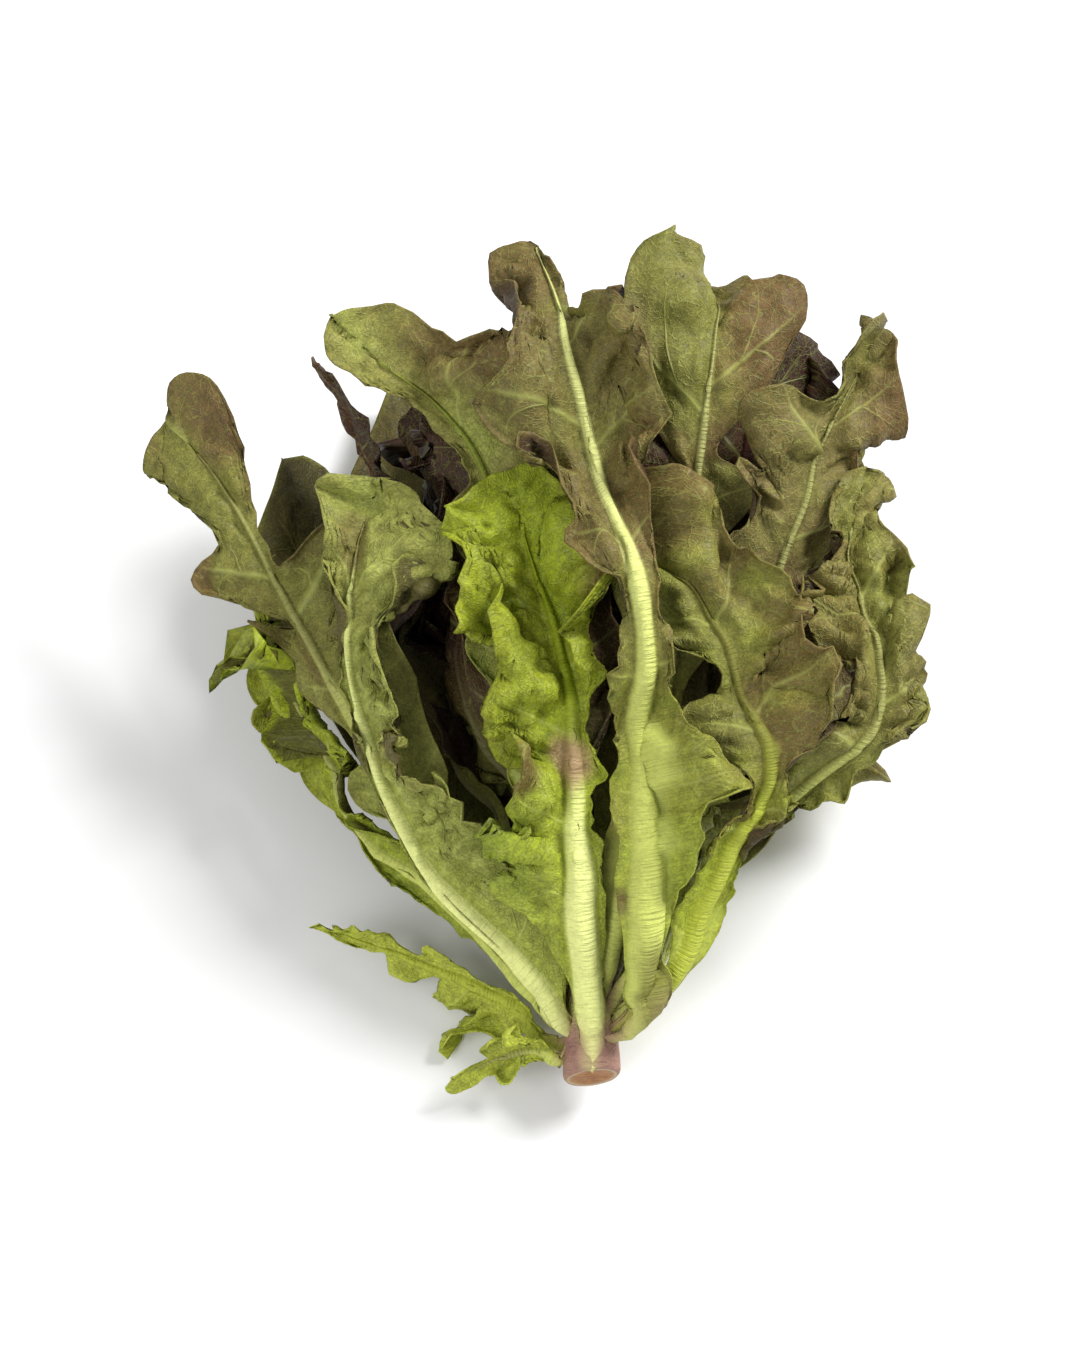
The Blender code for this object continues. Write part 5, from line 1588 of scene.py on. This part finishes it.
def stump_points(turn):
    """The cut stem's points, ring by ring from the middle of its cut, lumpy where the leaves join
    it, and each ring's share of the cut."""
    along = np.concatenate([
        np.linspace(0.0, STUMP_LOW, STUMP_LOW_RINGS),
        np.linspace(STUMP_HIGH, STEM_LENGTH, STUMP_HIGH_RINGS),
    ])
    lumps = noise(turn * LUMPS_ROUND / (2 * math.pi) % LUMPS_ROUND, along[:, None] / LUMP_LENGTH, 91)
    shrunk = STUMP_SHRUNK * (1.0 - smooth_step(along / STUMP_SHRUNK_TO))[:, None]
    radius = stem_radius(along)[:, None] + LUMP_HEIGHT * lumps - shrunk
    radius[:len(CUT_EDGE)] *= np.array(CUT_EDGE)[:, None]
    slant = CUT_SLANT * (0.5 + 0.5 * np.cos(turn - CUT_TURN))
    cut_back = slant * (1.0 - smooth_step(along / CUT_SLANT_TO))[:, None]
    rings = np.stack([radius * np.sin(turn), along[:, None] + cut_back, radius * np.cos(turn)], axis=-1)
    caps = []
    for share in CUT_SHARES:
        sunk = CUT_HOLLOW * (1.0 - share**2) + CUT_ROUGH * noise(turn * 2, share * 9, 92)
        sunk = sunk + CUT_SLANT * 0.5 + share * (slant - 0.5 * CUT_SLANT)
        caps.append(np.stack([share * rings[0, :, 0], sunk, share * rings[0, :, 2]], axis=-1))
    return np.concatenate([np.array(caps), rings]), np.concatenate([CUT_SHARES, np.ones(len(rings))])


def stump_tones(points, turn, cut_share):
    """The colours of the cut stem: green high up, pink and brown low down, orange on its cut."""
    along, every = points[..., 1], np.ones_like(points[..., 1])
    tone = blend(PINK, RIB_GREEN, rising(along, *STUMP_GREEN))
    from_pale = np.abs((turn + math.pi) % (2 * math.pi) - math.pi + STUMP_PALE_TURN)
    pale = smooth_step(1.0 - from_pale / STUMP_PALE_WIDTH)
    tone = blend(tone, RIB_PALE, STUMP_PALE * pale * every)
    streaks = noise(turn * STUMP_STREAKS / (2 * math.pi), along / STUMP_STREAK, 93)
    browned = STUMP_BROWNED * (0.5 + 0.5 * streaks) * (1.0 - rising(along, *STUMP_BROWN_TO))
    tone = blend(tone, STUMP_BROWN, browned)
    face = blend(CUT, CUT_DARK, 0.5 + 0.5 * noise(turn * 3, cut_share[:, None] * 8, 94))
    face = blend(face, CUT_RIM, rising(cut_share, *CUT_RIM_FROM)[:, None] * every)
    return blend(tone, face, (cut_share < 1.0)[:, None] * every)


def add_stump(shift, made_of):
    """The cut stem, with its cut face and colours, in the frame."""
    turn = np.linspace(0.0, 2 * math.pi, STUMP_SIDES, endpoint=False)
    points, cut_share = stump_points(turn)
    number = np.arange(points[..., 0].size).reshape(points.shape[:2])
    ahead = np.roll(number, -1, axis=1)
    quads = np.stack([number[:-1], ahead[:-1], ahead[1:], number[1:]], axis=-1).reshape(-1, 4)
    mesh = quad_mesh("stem_fine", (to_lying(points) + shift).reshape(-1, 3), quads)
    store(mesh, "flat", "FLOAT_VECTOR", points.reshape(-1, 3))
    store(mesh, "web", "FLOAT_VECTOR", np.tile([0.5, 0.0, 1.0], (number.size, 1)))
    store(mesh, "tone", "FLOAT_COLOR", stump_tones(points, turn, cut_share).reshape(-1, 3))
    store(mesh, "outside", "FLOAT", np.ones((number.size, 1)))
    mesh.materials.append(made_of)
    piece = added("stem_fine", mesh)
    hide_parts("stem")
    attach(piece, "root")


class Shader:
    """A small helper that adds nodes to a material and links them."""

    def __init__(self, name):
        self.material = bpy.data.materials.new(name)
        self.material.use_nodes = True
        self.tree = self.material.node_tree
        self.principled = self.tree.nodes["Principled BSDF"]

    def add(self, kind, inputs=(), **settings):
        made = self.tree.nodes.new(kind)
        for key, value in settings.items():
            setattr(made, key, value)
        for key, value in dict(inputs).items():
            self.fill(made.inputs[key], value)
        return made

    def fill(self, socket, value):
        """Links a socket to another one, or gives it a value."""
        if isinstance(value, bpy.types.NodeSocket):
            self.tree.links.new(value, socket)
        else:
            socket.default_value = value

    def set(self, name, value):
        self.fill(self.principled.inputs[name], value)

    def attribute(self, name, output):
        return self.add("ShaderNodeAttribute", attribute_name=name).outputs[output]

    def math(self, operation, a, b=0.0):
        return self.add("ShaderNodeMath", {0: a, 1: b}, operation=operation).outputs[0]

    def scaled(self, vector, factor):
        return self.add("ShaderNodeVectorMath", {0: vector, 3: factor}, operation="SCALE").outputs[0]

    def grey(self, value):
        return self.add("ShaderNodeCombineColor", {0: value, 1: value, 2: value}).outputs[0]

    def mapped(self, value, low, high, to_low=0.0, to_high=1.0):
        """A value brought smoothly from one range to another."""
        inputs = {"Value": value, "From Min": low, "From Max": high, "To Min": to_low, "To Max": to_high}
        made = self.add("ShaderNodeMapRange", inputs, interpolation_type="SMOOTHSTEP")
        return made.outputs["Result"]

    def mixed(self, factor, a, b, kind="MIX"):
        inputs = {0: factor, 6: a, 7: b}
        return self.add("ShaderNodeMix", inputs, data_type="RGBA", blend_type=kind).outputs[2]

    def noise(self, vector, scale, detail=2.0, output="Fac"):
        inputs = {"Vector": vector, "Scale": scale, "Detail": detail}
        return self.add("ShaderNodeTexNoise", inputs).outputs[output]


def side_veins_of(shader, web):
    """The side veins, out to the lobes: from 0 beside them to 1 on their middle lines."""
    turns, share = web[0], web[1]
    veins = 0.0
    for lean, begin, width in SIDE_VEINS:
        past = shader.math("MAXIMUM", shader.math("SUBTRACT", share, begin), 0.0)
        place = shader.math("ADD", shader.math("ADD", turns, 0.5), shader.math("MULTIPLY", past, lean))
        from_vein = shader.math("ABSOLUTE", shader.math("SUBTRACT", shader.math("FRACT", place), 0.5))
        half = shader.mapped(share, 0.0, SIDE_VEIN_END, width, SIDE_VEIN_NARROWS * width)
        vein = shader.math("SUBTRACT", 1.0, shader.math("DIVIDE", from_vein, half))
        vein = shader.math("MAXIMUM", vein, 0.0)
        veins = vein if begin == 0.0 else shader.math("MAXIMUM", veins, vein)
    fade = shader.mapped(share, SIDE_VEIN_FADES, 1.0, 1.0, SIDE_VEIN_LEFT)
    return shader.math("MULTIPLY", veins, fade)


def vein_net_of(shader, flat, web):
    """The nets of fine veins with the side veins, on the blade and not on the rib."""
    warp = shader.scaled(shader.noise(flat, NET_WARP, 2.0, "Color"), NET_WARPED)
    warped = shader.add("ShaderNodeVectorMath", {0: flat, 1: warp}, operation="ADD").outputs[0]
    nets = []
    for (scale, width), strength in zip(NETS, NET_SHARES):
        inputs = {"Vector": warped, "Scale": scale}
        cells = shader.add("ShaderNodeTexVoronoi", inputs, feature="DISTANCE_TO_EDGE")
        net = shader.mapped(cells.outputs["Distance"], 0.0, width, 1.0, 0.0)
        nets.append(shader.math("MULTIPLY", net, strength))
    net = shader.math("MAXIMUM", shader.math("ADD", *nets), side_veins_of(shader, web))
    return shader.math("MULTIPLY", net, shader.math("SUBTRACT", 1.0, web[2]))


def leaf_material():
    """Leaf tissue: a net of pale veins, mottling, side veins and a striped rib."""
    shader = Shader("leaf_tissue")
    flat = shader.attribute("flat", "Vector")
    web = shader.add("ShaderNodeSeparateXYZ", {0: shader.attribute("web", "Vector")}).outputs
    tone = shader.attribute("tone", "Color")
    outside = shader.attribute("outside", "Fac")
    net = vein_net_of(shader, flat, web)
    place = shader.scaled(shader.add("ShaderNodeTexCoord").outputs["Object"], 1.0 / MM)
    mottle = shader.noise(place, MOTTLE, 3.0)
    grain = shader.noise(place, GRAIN, 3.0)
    mottling = shader.math(
        "ADD",
        shader.mapped(mottle, NOISE_LOW, NOISE_HIGH, *MOTTLE_TO),
        shader.mapped(grain, NOISE_LOW, NOISE_HIGH, *GRAIN_TO),
    )
    mottling = shader.math("MULTIPLY", mottling, shader.mapped(web[2], 0.0, 1.0, 1.0, MOTTLE_ON_RIB))
    shaded = shader.mixed(1.0, tone, shader.grey(shader.math("ADD", mottling, 1.0)), "MULTIPLY")
    pale = shader.mixed(NET_BLEND, shaded, (*NET_PALE, 1.0))
    amount = shader.math("MULTIPLY", net, shader.mapped(outside, 0.0, 1.0, NET_INSIDE, NET_OUTSIDE))
    inputs = {0: flat, 1: WRINKLE_STRETCH}
    stretched = shader.add("ShaderNodeVectorMath", inputs, operation="MULTIPLY").outputs[0]
    wrinkle = shader.math("MULTIPLY", shader.noise(stretched, 1.0, 3.0), web[2])
    height = shader.math("MULTIPLY", net, BUMP_NET)
    for layer, part in ((mottle, BUMP_MOTTLE), (wrinkle, BUMP_WRINKLE), (grain, BUMP_GRAIN)):
        height = shader.math("ADD", height, shader.math("MULTIPLY", layer, part))
    inputs = {"Height": height, "Strength": BUMP_STRENGTH, "Distance": BUMP_DISTANCE}
    shader.set("Base Color", shader.mixed(amount, shaded, pale))
    shader.set("Normal", shader.add("ShaderNodeBump", inputs).outputs[0])
    shader.set("Roughness", shader.mapped(mottle, NOISE_LOW, NOISE_HIGH, *ROUGHNESS))
    shader.set("Specular IOR Level", LEAF_SPECULAR)
    return shader.material


def floor_material():
    shader = Shader("floor")
    shader.set("Base Color", (*FLOOR_GREY, 1.0))
    shader.set("Roughness", FLOOR_ROUGHNESS)
    shader.set("Specular IOR Level", FLOOR_SPECULAR)
    return shader.material


def add_floor():
    corners = [(-1, -1, 0), (1, -1, 0), (1, 1, 0), (-1, 1, 0)]
    mesh = quad_mesh("floor", FLOOR_SIZE * np.array(corners) / MM, np.array([[0, 1, 2, 3]]))
    mesh.materials.append(floor_material())
    added("floor", mesh)


def add_light(name, place, size, energy):
    light = added(name, bpy.data.lights.new(name, "AREA"))
    light.data.size = size
    light.data.energy = energy
    light.location = place
    light.rotation_euler = (Vector(LIGHTS_TARGET) - Vector(place)).to_track_quat("-Z", "Y").to_euler()


def add_world():
    world = bpy.data.worlds.new("studio")
    world.use_nodes = True
    background = world.node_tree.nodes["Background"]
    background.inputs["Color"].default_value = (1.0, 1.0, 1.0, 1.0)
    background.inputs["Strength"].default_value = SKY
    bpy.context.scene.world = world


def add_camera():
    """The camera looks down on the head from beyond the stem's end, as in the photograph."""
    back = Vector((0.0, -math.cos(CAMERA_RISE), math.sin(CAMERA_RISE)))
    camera = added("camera", bpy.data.cameras.new("camera"))
    camera.location = Vector(CAMERA_TARGET) + back * CAMERA_DISTANCE
    camera.rotation_mode = "QUATERNION"
    camera.rotation_quaternion = (-back).to_track_quat("-Z", "Y")
    camera.data.sensor_fit = "HORIZONTAL"
    camera.data.sensor_width = CAMERA_SENSOR
    camera.data.lens = CAMERA_SENSOR * CAMERA_DISTANCE / CAMERA_SEEN
    bpy.context.scene.camera = camera


def all_leaves():
    """The leaves from the youngest out, each with the columns of its frame's sheet and its look."""
    leaves = [(leaf, YOUNG_COLUMNS, YOUNG_LOOK) for leaf in young_leaves()]
    leaves += [(leaf, LEAF_COLUMNS, LOOKS.get(leaf.name, INNER_PAINTED_SHADE_LOOK)) for leaf in inner_leaves()]
    leaves += [(leaf, LEAF_COLUMNS, UNDER_LOOK) for leaf in UNDER_LEAVES]
    leaves += [(leaf, LEAF_COLUMNS, LOOKS[leaf.name]) for leaf in SHOWN_LEAVES]
    return leaves


def main():
    leaves = all_leaves()
    seeds = [FIRST_SEED + SEEDS_APART * k for k in range(len(leaves))]
    shift = shift_of_frame()
    made_of = leaf_material()
    add_stump(shift, made_of)
    laying, sheets = Pile(), []
    for (leaf, _, look), seed, cover in zip(leaves, seeds, covers_of(leaves)):
        laying.cover = cover
        sheets.append(laid_sheet(leaf, look, seed, laying))
    pile = Pile(FINE_BLURS)
    for (leaf, _, look), seed, sheet, roof in zip(leaves, seeds, sheets, roofs_of(sheets, pile)):
        add_fine_leaf(leaf, look, sheet, seed, pile, roof, shift, made_of)
    add_floor()
    add_world()
    for light in LIGHTS:
        add_light(*light)
    add_camera()
    view = bpy.context.scene.view_settings
    view.view_transform = "Standard"
    view.look = "None"


main()
